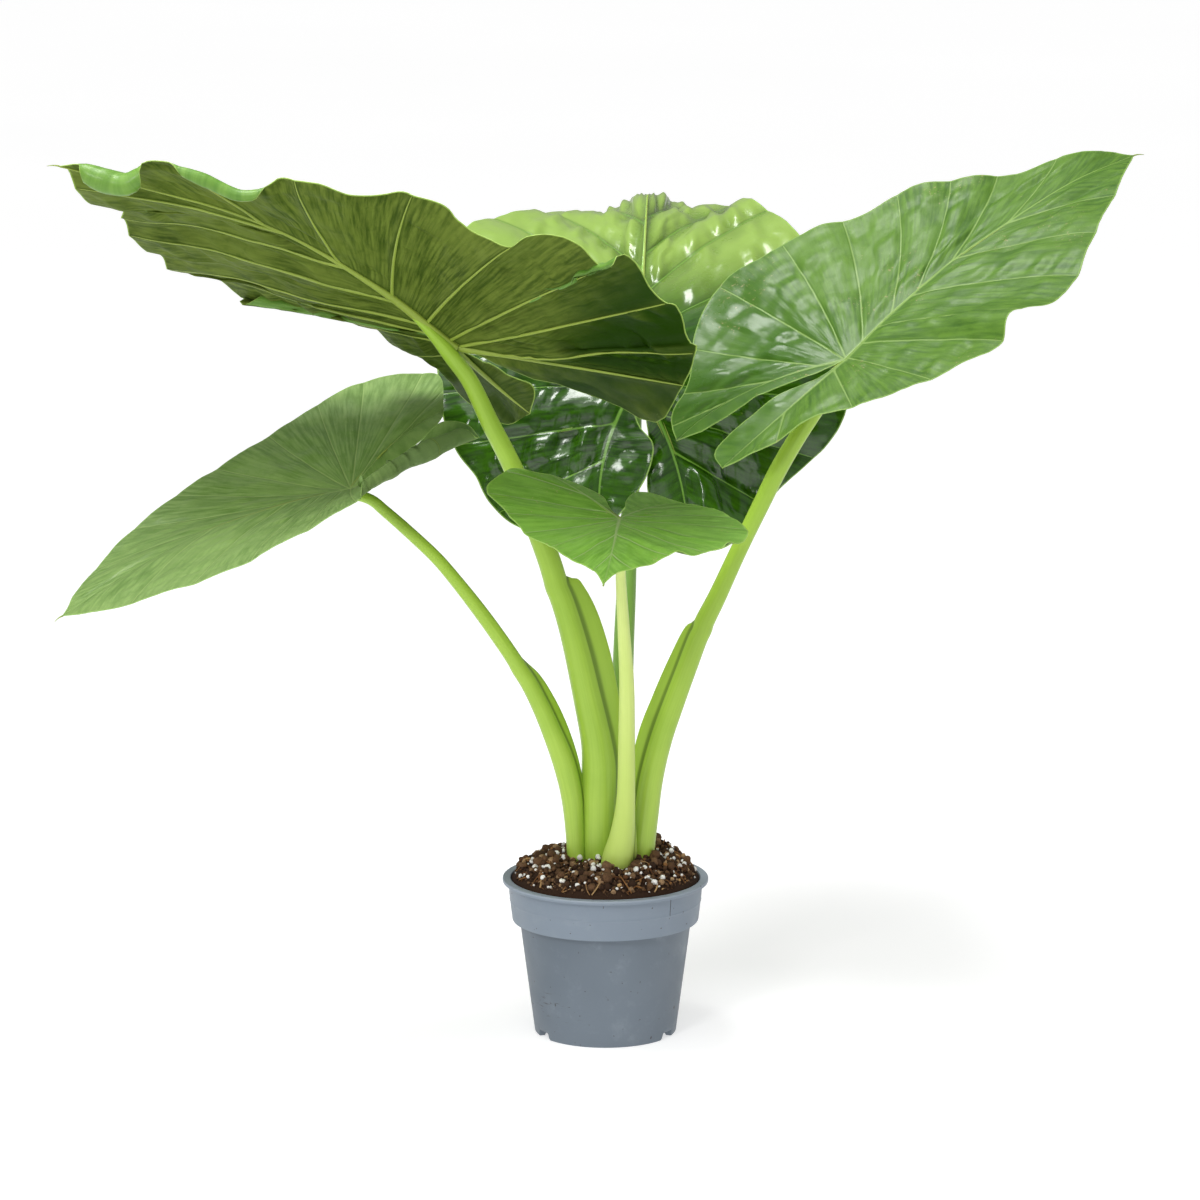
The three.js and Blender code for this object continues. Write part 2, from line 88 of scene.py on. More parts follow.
# Each blade has a frame at the point where its stalk joins: heading and pitch are the midrib's
# direction, and roll lifts the half on its left. Points are (along the midrib, to the left, lift).
# A vein runs from a share of the margin, counted from the rear lobe, to a share of the spine. A
# curl is a stretch of the margin in such shares, its radius, and the face that it rolls toward.
LEAVES = [
    {
        "name": "left_upper",
        "junction": (-121, -25, 575),
        "heading": 190,
        "pitch": 26,
        "roll": 30,
        "midrib": [(66, 11, 12), (150, 9, 24), (211, 7, 22), (277, 7, 10), (351, 13, -8)],
        "left": {
            "rib": (-82, 48, 4),
            "sinus": [(-22, 5, 0), (-76, 7, 2), (-125, 22, 0), (-164, 48, -8), (-157, 125, -8)],
            "margin": [(-150, 153, -2), (-143, 175, 2), (-135, 168, 7), (-124, 184, 10),
                (-109, 199, 13), (-100, 192, 16), (-87, 195, 17), (-72, 208, 20), (-55, 219, 20),
                (-51, 206, 17), (-45, 196, 18), (-23, 197, 23), (-7, 191, 26), (12, 178, 23),
                (22, 157, 20), (43, 136, 27), (59, 131, 32), (77, 137, 37), (97, 128, 41),
                (107, 123, 42), (123, 110, 32), (141, 108, 24), (169, 105, 25), (196, 85, 28),
                (202, 79, 20), (220, 68, 12), (247, 62, 14), (272, 57, 14), (289, 50, 10),
                (297, 40, 2), (305, 33, -6), (340, 21, -6)],
            "veins": [(0.066, 0.2), (0.166, 0.26), (0.29, 0.362), (0.413, 0.471), (0.56, 0.574),
                (0.706, 0.677), (0.852, 0.79)],
            "curls": [(0.735, 0.87, 3.4, -1), (0.885, 0.985, 3.8, -1)],
        },
        "right": {
            "rib": (-52, -60, 14),
            "sinus": [(-35, -21, 10), (-58, -27, 12), (-78, -27, 10), (-91, -61, 4)],
            "margin": [(-81, -108, 4), (-48, -131, 20), (-15, -126, 38), (3, -125, 41),
                (23, -133, 43), (43, -118, 42), (70, -117, 42), (106, -136, 42), (125, -130, 38),
                (137, -133, 34), (149, -157, 32), (159, -161, 36), (181, -152, 40),
                (198, -169, 38), (212, -160, 34), (230, -135, 28), (240, -139, 26),
                (274, -98, 26), (285, -58, 17), (305, -63, 8), (330, -27, 0)],
            "veins": [(0.24, 0.2), (0.403, 0.262), (0.556, 0.388), (0.632, 0.459), (0.728, 0.551),
                (0.784, 0.66), (0.923, 0.76)],
        },
    },
    {
        "name": "right",
        "junction": (193, -20, 564),
        "heading": 22,
        "pitch": 30,
        "roll": 20,
        "midrib": [(54, 10, 4), (129, 15, 10), (184, 13, 12), (249, 14, 8), (307, 12, -4)],
        "left": {
            "rib": (-72, 62, -6),
            "sinus": [(-23, 9, -2), (-62, 33, -8), (-113, 57, -24), (-133, 76, -34)],
            "margin": [(-124, 94, -28), (-93, 104, -12), (-64, 136, -4), (-12, 165, 4), (27, 155, 10),
                (76, 142, 14), (112, 122, 14), (148, 115, 18), (195, 82, 16), (231, 60, 6),
                (261, 49, 8), (292, 30, 0)],
            "veins": [(0.03, 0.1), (0.086, 0.16), (0.171, 0.22), (0.299, 0.25), (0.419, 0.299),
                (0.521, 0.451), (0.618, 0.573), (0.706, 0.647), (0.78, 0.724), (0.878, 0.826)],
        },
        "right": {
            "rib": (-60, -8, -2),
            "sinus": [(-27, 3, -2), (-56, 16, -4), (-96, 22, -12), (-125, 24, -22), (-130, 6, -26)],
            "margin": [(-99, -19, -14), (-60, -40, 0), (-16, -75, 10), (26, -105, 20), (81, -120, 22),
                (104, -110, 34), (139, -112, 18), (172, -99, 18), (212, -70, 18), (260, -30, 8)],
            "veins": [(0.1, 0.12), (0.231, 0.224), (0.361, 0.318), (0.485, 0.44), (0.544, 0.52),
                (0.674, 0.629), (0.769, 0.733), (0.878, 0.821)],
        },
    },
    {
        "name": "left_lower",
        "junction": (-205, -32, 461),
        "heading": 207,
        "pitch": -16,
        "roll": -18,
        "midrib": [(40, -2, 6), (79, 1, 12), (136, 1, 14), (204, 9, 10), (269, 17, 0)],
        "left": {
            "rib": (-50, 16, 14),
            "sinus": [(-27, -3, 3), (-57, 0, 13), (-93, -12, 19), (-107, 5, 20), (-108, 23, 17)],
            "margin": [(-84, 36, 24), (-42, 53, 34), (10, 78, 44), (65, 101, 50), (124, 108, 48),
                (185, 99, 40), (244, 58, 18)],
            "veins": [(0.12, 0.15), (0.25, 0.25), (0.37, 0.3), (0.49, 0.38), (0.61, 0.48), (0.72, 0.6),
                (0.84, 0.76)],
            "curls": [(0.0, 0.36, 7.5, 1)],
        },
        "right": {
            "rib": (-70, -58, -4),
            "sinus": [(-32, -15, -4), (-72, -33, -8), (-114, -58, -10), (-124, -71, -10)],
            "margin": [(-145, -120, -8), (-120, -136, -6), (-75, -142, -4), (-4, -122, -2), (55, -99, 2),
                (124, -73, 4), (170, -54, 2), (223, -23, 0)],
            "veins": [(0.06, 0.18), (0.13, 0.245), (0.229, 0.26), (0.325, 0.28), (0.44, 0.31),
                (0.565, 0.36), (0.66, 0.42), (0.76, 0.55), (0.87, 0.73)],
        },
    },
    {
        "name": "back",
        "junction": (25, 110, 525),
        "heading": 90,
        "pitch": 26,
        "roll": 0,
        "midrib": [(96, -7, -10), (167, -7, -4), (233, -10, 10), (285, -12, 6), (365, -14, -78)],
        "left": {
            "rib": (-40, 39, -49),
            "sinus": [(-14, 1, -9), (-20, 1, -18), (-26, -4, -26), (-35, -14, -34), (-43, -14, -45),
                (-56, -5, -64), (-76, 28, -101)],
            "margin": [(-77, 55, -103), (-73, 95, -96), (-44, 122, -90), (-25, 133, -76),
                (-8, 151, -60), (29, 163, -36), (96, 166, -10), (171, 159, 2), (231, 142, 4),
                (273, 100, -10), (318, 54, -38)],
            "veins": [(0.151, 0.125), (0.259, 0.185), (0.334, 0.255), (0.45, 0.42), (0.57, 0.57),
                (0.7, 0.68), (0.8, 0.75), (0.899, 0.82)],
        },
        "right": {
            "rib": (-31, -41, -39),
            "sinus": [(-13, -7, -11), (-18, -9, -21), (-26, -11, -39), (-37, -11, -56),
                (-50, -10, -73), (-68, -22, -99), (-81, -46, -115)],
            "margin": [(-89, -79, -102), (-54, -103, -96), (-30, -122, -84), (-1, -160, -62),
                (23, -178, -40), (96, -179, -10), (171, -160, 2), (219, -140, 8), (271, -106, 4),
                (315, -66, -30)],
            "veins": [(0.146, 0.133), (0.24, 0.195), (0.33, 0.255), (0.448, 0.41), (0.6, 0.6),
                (0.724, 0.7), (0.81, 0.77), (0.89, 0.83)],
        },
    },
    {
        "name": "front",
        "junction": (11, -115, 451),
        "heading": 266,
        "pitch": -7,
        "roll": 0,
        "midrib": [(32, 0, 0), (80, 0, 0), (126, 0, 0), (174, -1, 0)],
        "left": {
            "rib": (-28, 18, 2),
            "sinus": [(-29, 2, 0), (-54, 2, 0), (-75, 9, 0), (-70, 24, 0), (-51, 47, -2)],
            "margin": [(-14, 77, 3), (25, 98, 3), (48, 104, 3), (64, 101, 1), (72, 96, 2), (80, 90, 5),
                (84, 86, 2), (92, 74, 2), (100, 63, 0), (107, 52, 6), (111, 45, 4), (119, 35, -1),
                (130, 25, 0), (152, 6, 1), (166, 0, 0)],
            "veins": [(0.12, 0.12), (0.24, 0.22), (0.36, 0.262), (0.48, 0.33), (0.6, 0.45), (0.72, 0.62),
                (0.85, 0.8)],
        },
        "right": {
            "rib": (-28, -26, 10),
            "sinus": [(-20, -8, 2), (-39, -16, 7), (-47, -31, 12), (-60, -60, 18)],
            "margin": [(-62, -75, 19), (-66, -92, 21), (-62, -98, 19), (-47, -108, 14), (-37, -109, 12),
                (-20, -103, 9), (-2, -90, 4), (12, -86, 3), (24, -78, 0), (38, -70, -4), (64, -48, -5),
                (78, -41, -6), (115, -18, -5), (138, -9, -2), (158, -4, -1)],
            "veins": [(0.12, 0.12), (0.24, 0.22), (0.36, 0.262), (0.48, 0.33), (0.6, 0.45), (0.72, 0.62),
                (0.85, 0.8)],
        },
    },
]

# Each stalk is a list of (x, y, z, radius, sheath) from just under the blade down. The sheath is a
# wing that stands out by that much on the side named by toward.
STALKS = {
    "front": {
        "toward": (0.8, 0.6),
        "path": [(12, -114, 438, 3.6, 0), (12, -106, 422, 3.7, 0), (12, -95, 402, 4, 0),
            (14.5, -78, 354, 5, 0), (17, -62, 308, 6, 0), (17, -46, 253, 6.9, 0),
            (16.5, -37, 203, 7.8, 0), (13.5, -31, 172, 10.4, 4), (9.5, -28, 150, 13, 8),
            (8, -27, 124.8, 13.5, 8)],
    },
    "left_upper": {
        "toward": (0.97, 0.25),
        "path": [(-110, -22, 548, 6.8, 0), (-93, -19, 512, 7.4, 0), (-75, -16, 475, 7.9, 0),
            (-59, -15, 434, 8.8, 0), (-46, -14, 399, 9.4, 0), (-41, -13, 382, 9.6, 0),
            (-40, -13, 378, 9.7, 7), (-36, -12, 368, 9.8, 11), (-30, -11, 349, 10.1, 14.5),
            (-22, -10, 318, 11, 15.5), (-14, -8, 281, 12, 14), (-7, -6, 247, 13.3, 11),
            (-5, -4, 227, 14.6, 9), (-5.5, -2, 192, 15.5, 6), (-5.5, -1, 153, 15.5, 3),
            (-4, 0, 124.8, 14, 2)],
    },
    "right": {
        "toward": (-0.97, 0.25),
        "path": [(180, -20, 538, 6.3, 0), (159, -19, 507, 6.9, 0), (141, -18, 476, 7.2, 0),
            (126, -17, 445, 7, 0), (109, -16, 409, 6.9, 0), (91, -15, 369, 7.5, 0),
            (80, -14, 346, 8.2, 0), (79, -14, 342, 8.3, 3), (76, -13, 336, 8.4, 5),
            (66, -12, 309, 8.7, 7.6), (55, -10, 278, 9.2, 9), (45, -9, 248, 9.6, 9.6),
            (37, -8, 214, 10.2, 8), (33, -8, 184, 10.5, 5), (30, -8, 155, 10.5, 3),
            (29, -8, 124.8, 9, 2)],
    },
    "left_lower": {
        "toward": (0.85, 0.5),
        "path": [(-190, -32, 452, 4.4, 0), (-178, -31, 442, 4.6, 0), (-156, -30, 422, 4.9, 0),
            (-136, -28, 402, 5.1, 0), (-119, -26, 381, 5.4, 0), (-104, -24, 361, 5.8, 0),
            (-90, -22, 341, 6.1, 0), (-75, -20, 318, 6.3, 0), (-70, -19, 309, 6.6, 2.5),
            (-63, -18, 298, 6.9, 5.5), (-54, -17, 280, 7.3, 7.3), (-45, -16, 259, 8, 7.5),
            (-34, -14, 229, 9, 5), (-28, -13, 202, 8.6, 4), (-25, -11, 167, 7.6, 4),
            (-24, -11, 124.8, 7, 1)],
    },
    "back": {
        "toward": (-0.3, -0.95),
        "path": [(24.5, 115.5, 503, 5.8, 0), (24, 116.5, 483, 6.2, 0), (23, 115.5, 460, 6.6, 0),
            (21.5, 111, 435, 7, 0), (20, 103, 408, 7.4, 0), (18.5, 90, 385, 7.8, 0),
            (17, 70, 350, 8.2, 0), (15, 50, 308, 8.6, 0), (14, 35, 265, 8.9, 0),
            (14, 29.5, 237, 9.5, 2), (16, 24, 186, 10, 3), (17, 21, 148, 10, 2),
            (17, 21, 124.8, 9, 1)],
    },
}
STALK_FOOT_Z = 124.8
# How a stalk's head bends into the midrib: distance along it, then drop and size as shares of the
# head's radius
HEAD_BEND = ((46, 0.3, 0.3), (20, 0.68, 0.68), (1, 1.3, 0.94))
STALK_RINGS = 150
STALK_SIDES = 64
WING_POWER = 15

# Mesh fineness and the sizes of relief, in millimetres where they are lengths
NOISE_TABLE = 64
NEAREST_CHUNK = 1500
BLADE_COLUMNS = 170
BLADE_ROWS = 44
SINUS_ROWS = 22
RIB_SIDES = 8
QUILT_WIDTH = 35
PUCKER_LENGTH = 11
WAVE_LENGTH = 55
RUFFLES = 24
SWEEP_RISE = 0.25
SWEEP_BACK = 0.06
RIDGE_RADIUS = 78.9
RIDGE_Z = 112
PROFILE_STEP = 4
SOIL_RINGS = 90
SOIL_SIDES = 260
FIBRES = 230

# Blade material places
UPPER, UNDER, RIM, VEIN = 0, 1, 2, 3

# Relief heights in millimetres, the extra share of puckers on the rear lobes, the thread at the
# blade's tip, and tone, which is 1 where a blade is at its brightest or deepest. On the back leaf tone
# is painted light: the glow of light through its crest.
LEAF_LOOKS = {
    "left_upper": {
        "seed": 100, "lobes": 0.5, "quilt": 4.6, "pucker": 1.7, "wave": 4.2, "ruffle": 2.0,
        "filament": (9, 0, -2),
        "tone": lambda p: np.maximum(
            smooth_step(-p[:, 0], 15, 95) * smooth_step(p[:, 1], -10, 10),
            0.8 * smooth_step(-p[:, 0], -30, 30) * smooth_step(-p[:, 1], 10, 50))},
    "right": {
        "seed": 200, "lobes": 0.2, "quilt": 2.4, "pucker": 1.3, "wave": 1.6, "ruffle": 1.6,
        "filament": (9, 0, -3),
        "tone": lambda p: smooth_step(-p[:, 0], -40, 20) * smooth_step(p[:, 1], -15, 15)},
    "left_lower": {
        "seed": 300, "lobes": 0, "quilt": 1.4, "pucker": 0.6, "wave": 1.5, "ruffle": 0.8,
        "filament": (7, 0, 0),
        "tone": lambda p: smooth_step(-p[:, 0], -10, 50) * smooth_step(p[:, 1], -15, 10)},
    "back": {
        "seed": 400, "lobes": 0.9, "quilt": 5.2, "pucker": 2.3, "wave": 3.0, "ruffle": 2.0,
        "filament": None,
        # Painted light: the back leaf's crest takes the bright colour, a painted glow through the blade.
        "tone": lambda p: smooth_step(p[:, 0], 90, 215)},
    "front": {
        "seed": 500, "lobes": 0, "quilt": 1.2, "pucker": 0.5, "wave": 1.5, "ruffle": 1.0,
        "filament": None,
        "tone": lambda p: np.zeros(len(p))},
}

# Lights: name, place and target in metres, size in metres, watts
LIGHTS = [
    ("overhead", (-0.5, 0.0, 2.3), (0, 0, 0.45), (1.0, 0.7), 34),
    ("front", (-1.1, -2.5, 1.95), (0, 0, 0.4), (0.6, 0.6), 23),
]
SUN_STRENGTH = 1.0
SUN_WIDTH = 60
SUN_TURN = (28, -14, 0)
WORLD_STRENGTH = 0.36
FLOOR_REACH = 60
FLOOR_GLOW = 0.6


# Curves, noise and small sums
def between(a, b, low, high, at):
    return ((high - at) * a + (at - low) * b) / (high - low)


def smooth_curve(points, steps=60):
    """A centripetal Catmull-Rom curve, as a function from shares of its length to points."""
    points = np.array(points, float)
    padded = np.vstack([2 * points[0] - points[1], points, 2 * points[-1] - points[-2]])
    samples = []
    for a, b, c, d in zip(padded, padded[1:], padded[2:], padded[3:]):
        gaps = [max(np.linalg.norm((q - p)[:3]), 1e-6) ** 0.5 for p, q in ((a, b), (b, c), (c, d))]
        k0, k1, k2, k3 = np.cumsum([0] + gaps)
        at = np.linspace(k1, k2, steps, endpoint=False)[:, None]
        middle = between(b, c, k1, k2, at)
        left = between(between(a, b, k0, k1, at), middle, k0, k2, at)
        right = between(middle, between(c, d, k2, k3, at), k1, k3, at)
        samples.append(between(left, right, k1, k2, at))
    line = np.vstack(samples + [points[-1:]])
    lengths = np.r_[0, np.cumsum(np.linalg.norm(np.diff(line[:, :3], axis=0), axis=1))]

    def at_share(share):
        place = np.asarray(share) * lengths[-1]
        return np.stack([np.interp(place, lengths, column) for column in line.T], -1)

    at_share.length = lengths[-1]
    return at_share


def quadratic(a, b, c, t):
    t = np.asarray(t)[..., None]
    return (1 - t) ** 2 * a + 2 * t * (1 - t) * b + t * t * c


def smooth_step(value, low, high):
    share = np.clip((value - low) / (high - low), 0, 1)
    return share * share * (3 - 2 * share)


def soft_noise(x, y, seed):
    """Smooth random heights from -1 to 1, one value at each whole number."""
    table = np.random.default_rng(seed).uniform(-1, 1, (NOISE_TABLE, NOISE_TABLE))
    column, row = np.floor(x).astype(int), np.floor(y).astype(int)
    u, v = x - column, y - row
    u, v = u * u * (3 - 2 * u), v * v * (3 - 2 * v)

    def corner(i, j):
        return table[(column + i) % NOISE_TABLE, (row + j) % NOISE_TABLE]

    low = corner(0, 0) * (1 - u) + corner(1, 0) * u
    high = corner(0, 1) * (1 - u) + corner(1, 1) * u
    return low * (1 - v) + high * v


# Meshes
def make_object(name, points, faces, materials, face_materials=None, measures=None):
    """A smooth mesh from points in millimetres, with the given numbers kept at each point."""
    clean = []
    kept = []
    for index, face in enumerate(faces):
        corners = list(dict.fromkeys(int(k) for k in face))
        if len(corners) > 2:
            clean.append(corners)
            kept.append(index)
    mesh = bpy.data.meshes.new(name)
    mesh.from_pydata((np.asarray(points) * MM).tolist(), [], clean)
    for material in materials:
        mesh.materials.append(material)
    if face_materials is not None:
        indices = np.asarray(face_materials, np.int32)[kept]
        mesh.polygons.foreach_set("material_index", indices)
    mesh.polygons.foreach_set("use_smooth", np.ones(len(clean), bool))
    for key, values in (measures or {}).items():
        numbers = np.asarray(values, np.float32)
        mesh.attributes.new(key, "FLOAT", "POINT").data.foreach_set("value", numbers)
    mesh.update()
    thing = bpy.data.objects.new(name, mesh)
    bpy.context.scene.collection.objects.link(thing)
    return thing


def keep(piece, slot, *nodes):
    """A piece that rides with the plant and stands for CAD nodes."""
    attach(piece, "root")
    if nodes:
        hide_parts(*nodes)


class Parts:
    """Collects points, faces and measures of several shapes into one mesh."""

    def __init__(self, *keys):
        self.points = []
        self.faces = []
        self.materials = []
        self.measures = {key: [] for key in keys}
        self.count = 0

    def add(self, points, faces, material, **measures):
        points = np.asarray(points, float)
        self.points.append(points)
        self.faces.extend([k + self.count for k in face] for face in faces)
        self.materials.extend([material] * len(faces))
        for key, values in self.measures.items():
            given = measures.get(key, 0)
            values.append(np.broadcast_to(np.asarray(given, float), (len(points),)))
        self.count += len(points)

    def build(self, name, materials):
        measures = {key: np.concatenate(values) for key, values in self.measures.items()}
        return make_object(name, np.vstack(self.points), self.faces, materials, self.materials, measures)


def ring_faces(rings, sides):
    """Faces of a tube of rings, closed at both ends."""
    faces = []
    for i in range(rings - 1):
        for k in range(sides):
            a, b = i * sides + k, i * sides + (k + 1) % sides
            faces.append([a, b, b + sides, a + sides])
    faces.append(list(range(sides))[::-1])
    faces.append([(rings - 1) * sides + k for k in range(sides)])
    return faces


def tube(line, radii, sides=8):
    """A round tube along a line of points, for fibres and filaments."""
    line = np.asarray(line, float)
    tangents = np.gradient(line, axis=0)
    tangents /= np.linalg.norm(tangents, axis=1)[:, None]
    helper = np.where(np.abs(tangents[:, 2:]) < 0.9, [[0, 0, 1]], [[1, 0, 0]])
    side = np.cross(tangents, helper)
    side /= np.linalg.norm(side, axis=1)[:, None]
    up = np.cross(side, tangents)
    angles = np.linspace(0, 2 * np.pi, sides, endpoint=False)
    radii = np.broadcast_to(radii, len(line))[:, None, None]
    rings = side[:, None] * np.cos(angles)[None, :, None] + up[:, None] * np.sin(angles)[None, :, None]
    points = line[:, None] - rings * radii
    return points.reshape(-1, 3), ring_faces(len(line), sides)


# Blades
def blade_axes(leaf):
    heading, pitch, roll = (math.radians(leaf[key]) for key in ("heading", "pitch", "roll"))
    along = np.array([
        math.cos(pitch) * math.cos(heading), math.cos(pitch) * math.sin(heading), math.sin(pitch)])
    left = np.array([-math.sin(heading), math.cos(heading), 0])
    left = left * math.cos(roll) + np.cross(along, left) * math.sin(roll)
    return np.array([along, left, np.cross(along, left)])


def to_model(leaf, points):
    return np.asarray(points) @ blade_axes(leaf) + np.array(leaf["junction"])


def blade_half(leaf, side):
    """The half's surface: outer runs from spine to margin, inner from the lobe's rib to the sinus."""
    half = leaf[side]
    root = (0, 0, 0)
    tip = leaf["midrib"][-1]
    lobe_tip = half["sinus"][-1]
    midrib = smooth_curve([root] + leaf["midrib"])
    margin = smooth_curve([lobe_tip] + half["margin"] + [tip])
    sinus = smooth_curve([root] + half["sinus"])
    rib_points = [np.array(p, float) for p in (root, half["rib"], lobe_tip)]
    vein_ends = [0] + [end for end, start in half["veins"]] + [1]
    vein_starts = [0] + [start for end, start in half["veins"]] + [1]

    def spine(s):
        on_rib = quadratic(*rib_points, np.clip(1 - s / FAN_SHARE, 0, 1))
        on_midrib = midrib(np.clip((s - FAN_SHARE) / (1 - FAN_SHARE), 0, 1) ** FAN_POWER)
        return np.where((s < FAN_SHARE)[:, None], on_rib, on_midrib)

    def outer(s, t):
        start = spine(np.interp(s, vein_ends, vein_starts))
        end = margin(s)
        bend = (start + end) / 2
        bend[:, 0] += (SWEEP_RISE * s - SWEEP_BACK) * np.linalg.norm(end - start, axis=1)
        return quadratic(start[:, None], bend[:, None], end[:, None], np.broadcast_to(t, (len(s), len(t))))

    def inner(r, t):
        start = quadratic(*rib_points, r)
        return start[:, None] + (sinus(r) - start)[:, None] * t[None, :, None]

    return outer, inner, margin


def stations(stops, count):
    """Values from 0 to 1 that include every stop, about evenly spaced."""
    values = [0.0]
    for low, high in zip(stops, stops[1:]):
        steps = max(2, round((high - low) * count))
        values.extend(np.linspace(low, high, steps + 1)[1:])
    return np.array(values)


def weld(points, digits):
    """Which points to keep, and the kept one that each point becomes."""
    found = np.unique(np.round(points, digits), axis=0, return_index=True, return_inverse=True)
    return found[1], found[2].reshape(-1)


def grid_faces(rows, columns, flip):
    i, j = np.meshgrid(np.arange(rows - 1), np.arange(columns - 1), indexing="ij")
    a = i * columns + j
    quads = np.stack([a, a + columns, a + columns + 1, a + 1], -1).reshape(-1, 4)
    return quads[:, ::-1] if flip else quads


def nearest(points, line, sizes=None):
    """Each point's distance to the nearest of a line's points, as a share of its size if given."""
    found = np.empty(len(points))
    for start in range(0, len(points), NEAREST_CHUNK):
        chunk = points[start:start + NEAREST_CHUNK, None] - line[None]
        distance = np.linalg.norm(chunk, axis=2)
        if sizes is not None:
            distance = distance / sizes
        found[start:start + NEAREST_CHUNK] = distance.min(1)
    return found


def normals_of(points, quads):
    across = points[quads[:, 2]] - points[quads[:, 0]]
    down = points[quads[:, 3]] - points[quads[:, 1]]
    face_normals = np.cross(across, down)
    normals = np.zeros_like(points)
    for corner in quads.T:
        np.add.at(normals, corner, face_normals)
    return normals / np.maximum(np.linalg.norm(normals, axis=1), 1e-9)[:, None]


def curl_margin(points, s, across, curls):
    """Roll stretches of the margin over: share of the margin from and to, radius, and toward which face."""
    for low, high, radius, face in curls:
        for row in range(len(s)):
            weight = float(smooth_step(s[row], low, low + 0.03) * smooth_step(-s[row], -high, 0.03 - high))
            if weight < 0.02:
                continue
            line = points[row]
            size = radius * (0.35 + 0.65 * weight)
            away = np.linalg.norm(line - line[-1], axis=1)
            start = int(np.argmax(away < size))
            near = max(start - 3, 0)
            out = (line[-1] - line[near]) / np.linalg.norm(line[-1] - line[near])
            along = points[min(row + 1, len(s) - 1), start] - points[max(row - 1, 0), start]
            up = np.cross(out, along)
            up *= np.sign(up[2]) * face / np.linalg.norm(up)
            share = (across[start:] - across[start]) / (1 - across[start])
            angle = share * np.pi * 1.15 * weight
            base = line[-1] - out * size
            rolled = base + size * (np.sin(angle)[:, None] * out + (1 - np.cos(angle))[:, None] * up)
            blend = smooth_step(weight, 0, 0.5)
            line[start:] = line[start:] * (1 - blend) + rolled * blend
    return points


def outer_relief(looks, s, t, points, ends, seed):
    """Quilting between veins, puckers beside them and a ruffled margin, in millimetres."""
    s, t = np.meshgrid(s, t, indexing="ij")
    reach = np.linalg.norm(points[:, -1] - points[:, 0], axis=1)[:, None] * t
    gap = np.searchsorted(ends, s, side="right") - 1
    gap = np.clip(gap, 0, len(ends) - 2)
    low, high = ends[gap], ends[gap + 1]
    share = (s - low) / (high - low)
    from_vein = 1 - np.abs(2 * share - 1)
    width = np.linalg.norm(np.gradient(points, axis=0), axis=2) / np.gradient(s, axis=0) * (high - low)
    size = np.clip(width / QUILT_WIDTH, 0, 1)
    quilt = looks["quilt"] * size * np.sin(np.pi * share) * smooth_step(t, 0, 0.15)
    vein = np.where(share < 0.5, gap, gap + 1) * 2 + (share < 0.5)
    puckers = soft_noise(reach / PUCKER_LENGTH, vein * 5.3, seed)
    puckers = puckers * (1 + looks["lobes"] * smooth_step(-s, -0.45, -0.3))
    puckers = puckers * smooth_step(from_vein, 0, 0.3) * (1 - 0.6 * from_vein) * smooth_step(1 - t, 0, 0.2)
    fine = soft_noise(reach / 9, s * 90, seed + 1) * smooth_step(from_vein, 0, 0.3)
    ruffle = soft_noise(s * RUFFLES, t * 1.5, seed + 2) * t ** 3 * smooth_step(s, 0, 0.06)
    return (quilt + looks["pucker"] * size * (2.2 * puckers + 0.3 * fine)
            + looks["ruffle"] * ruffle * smooth_step(1 - s, 0, 0.05))


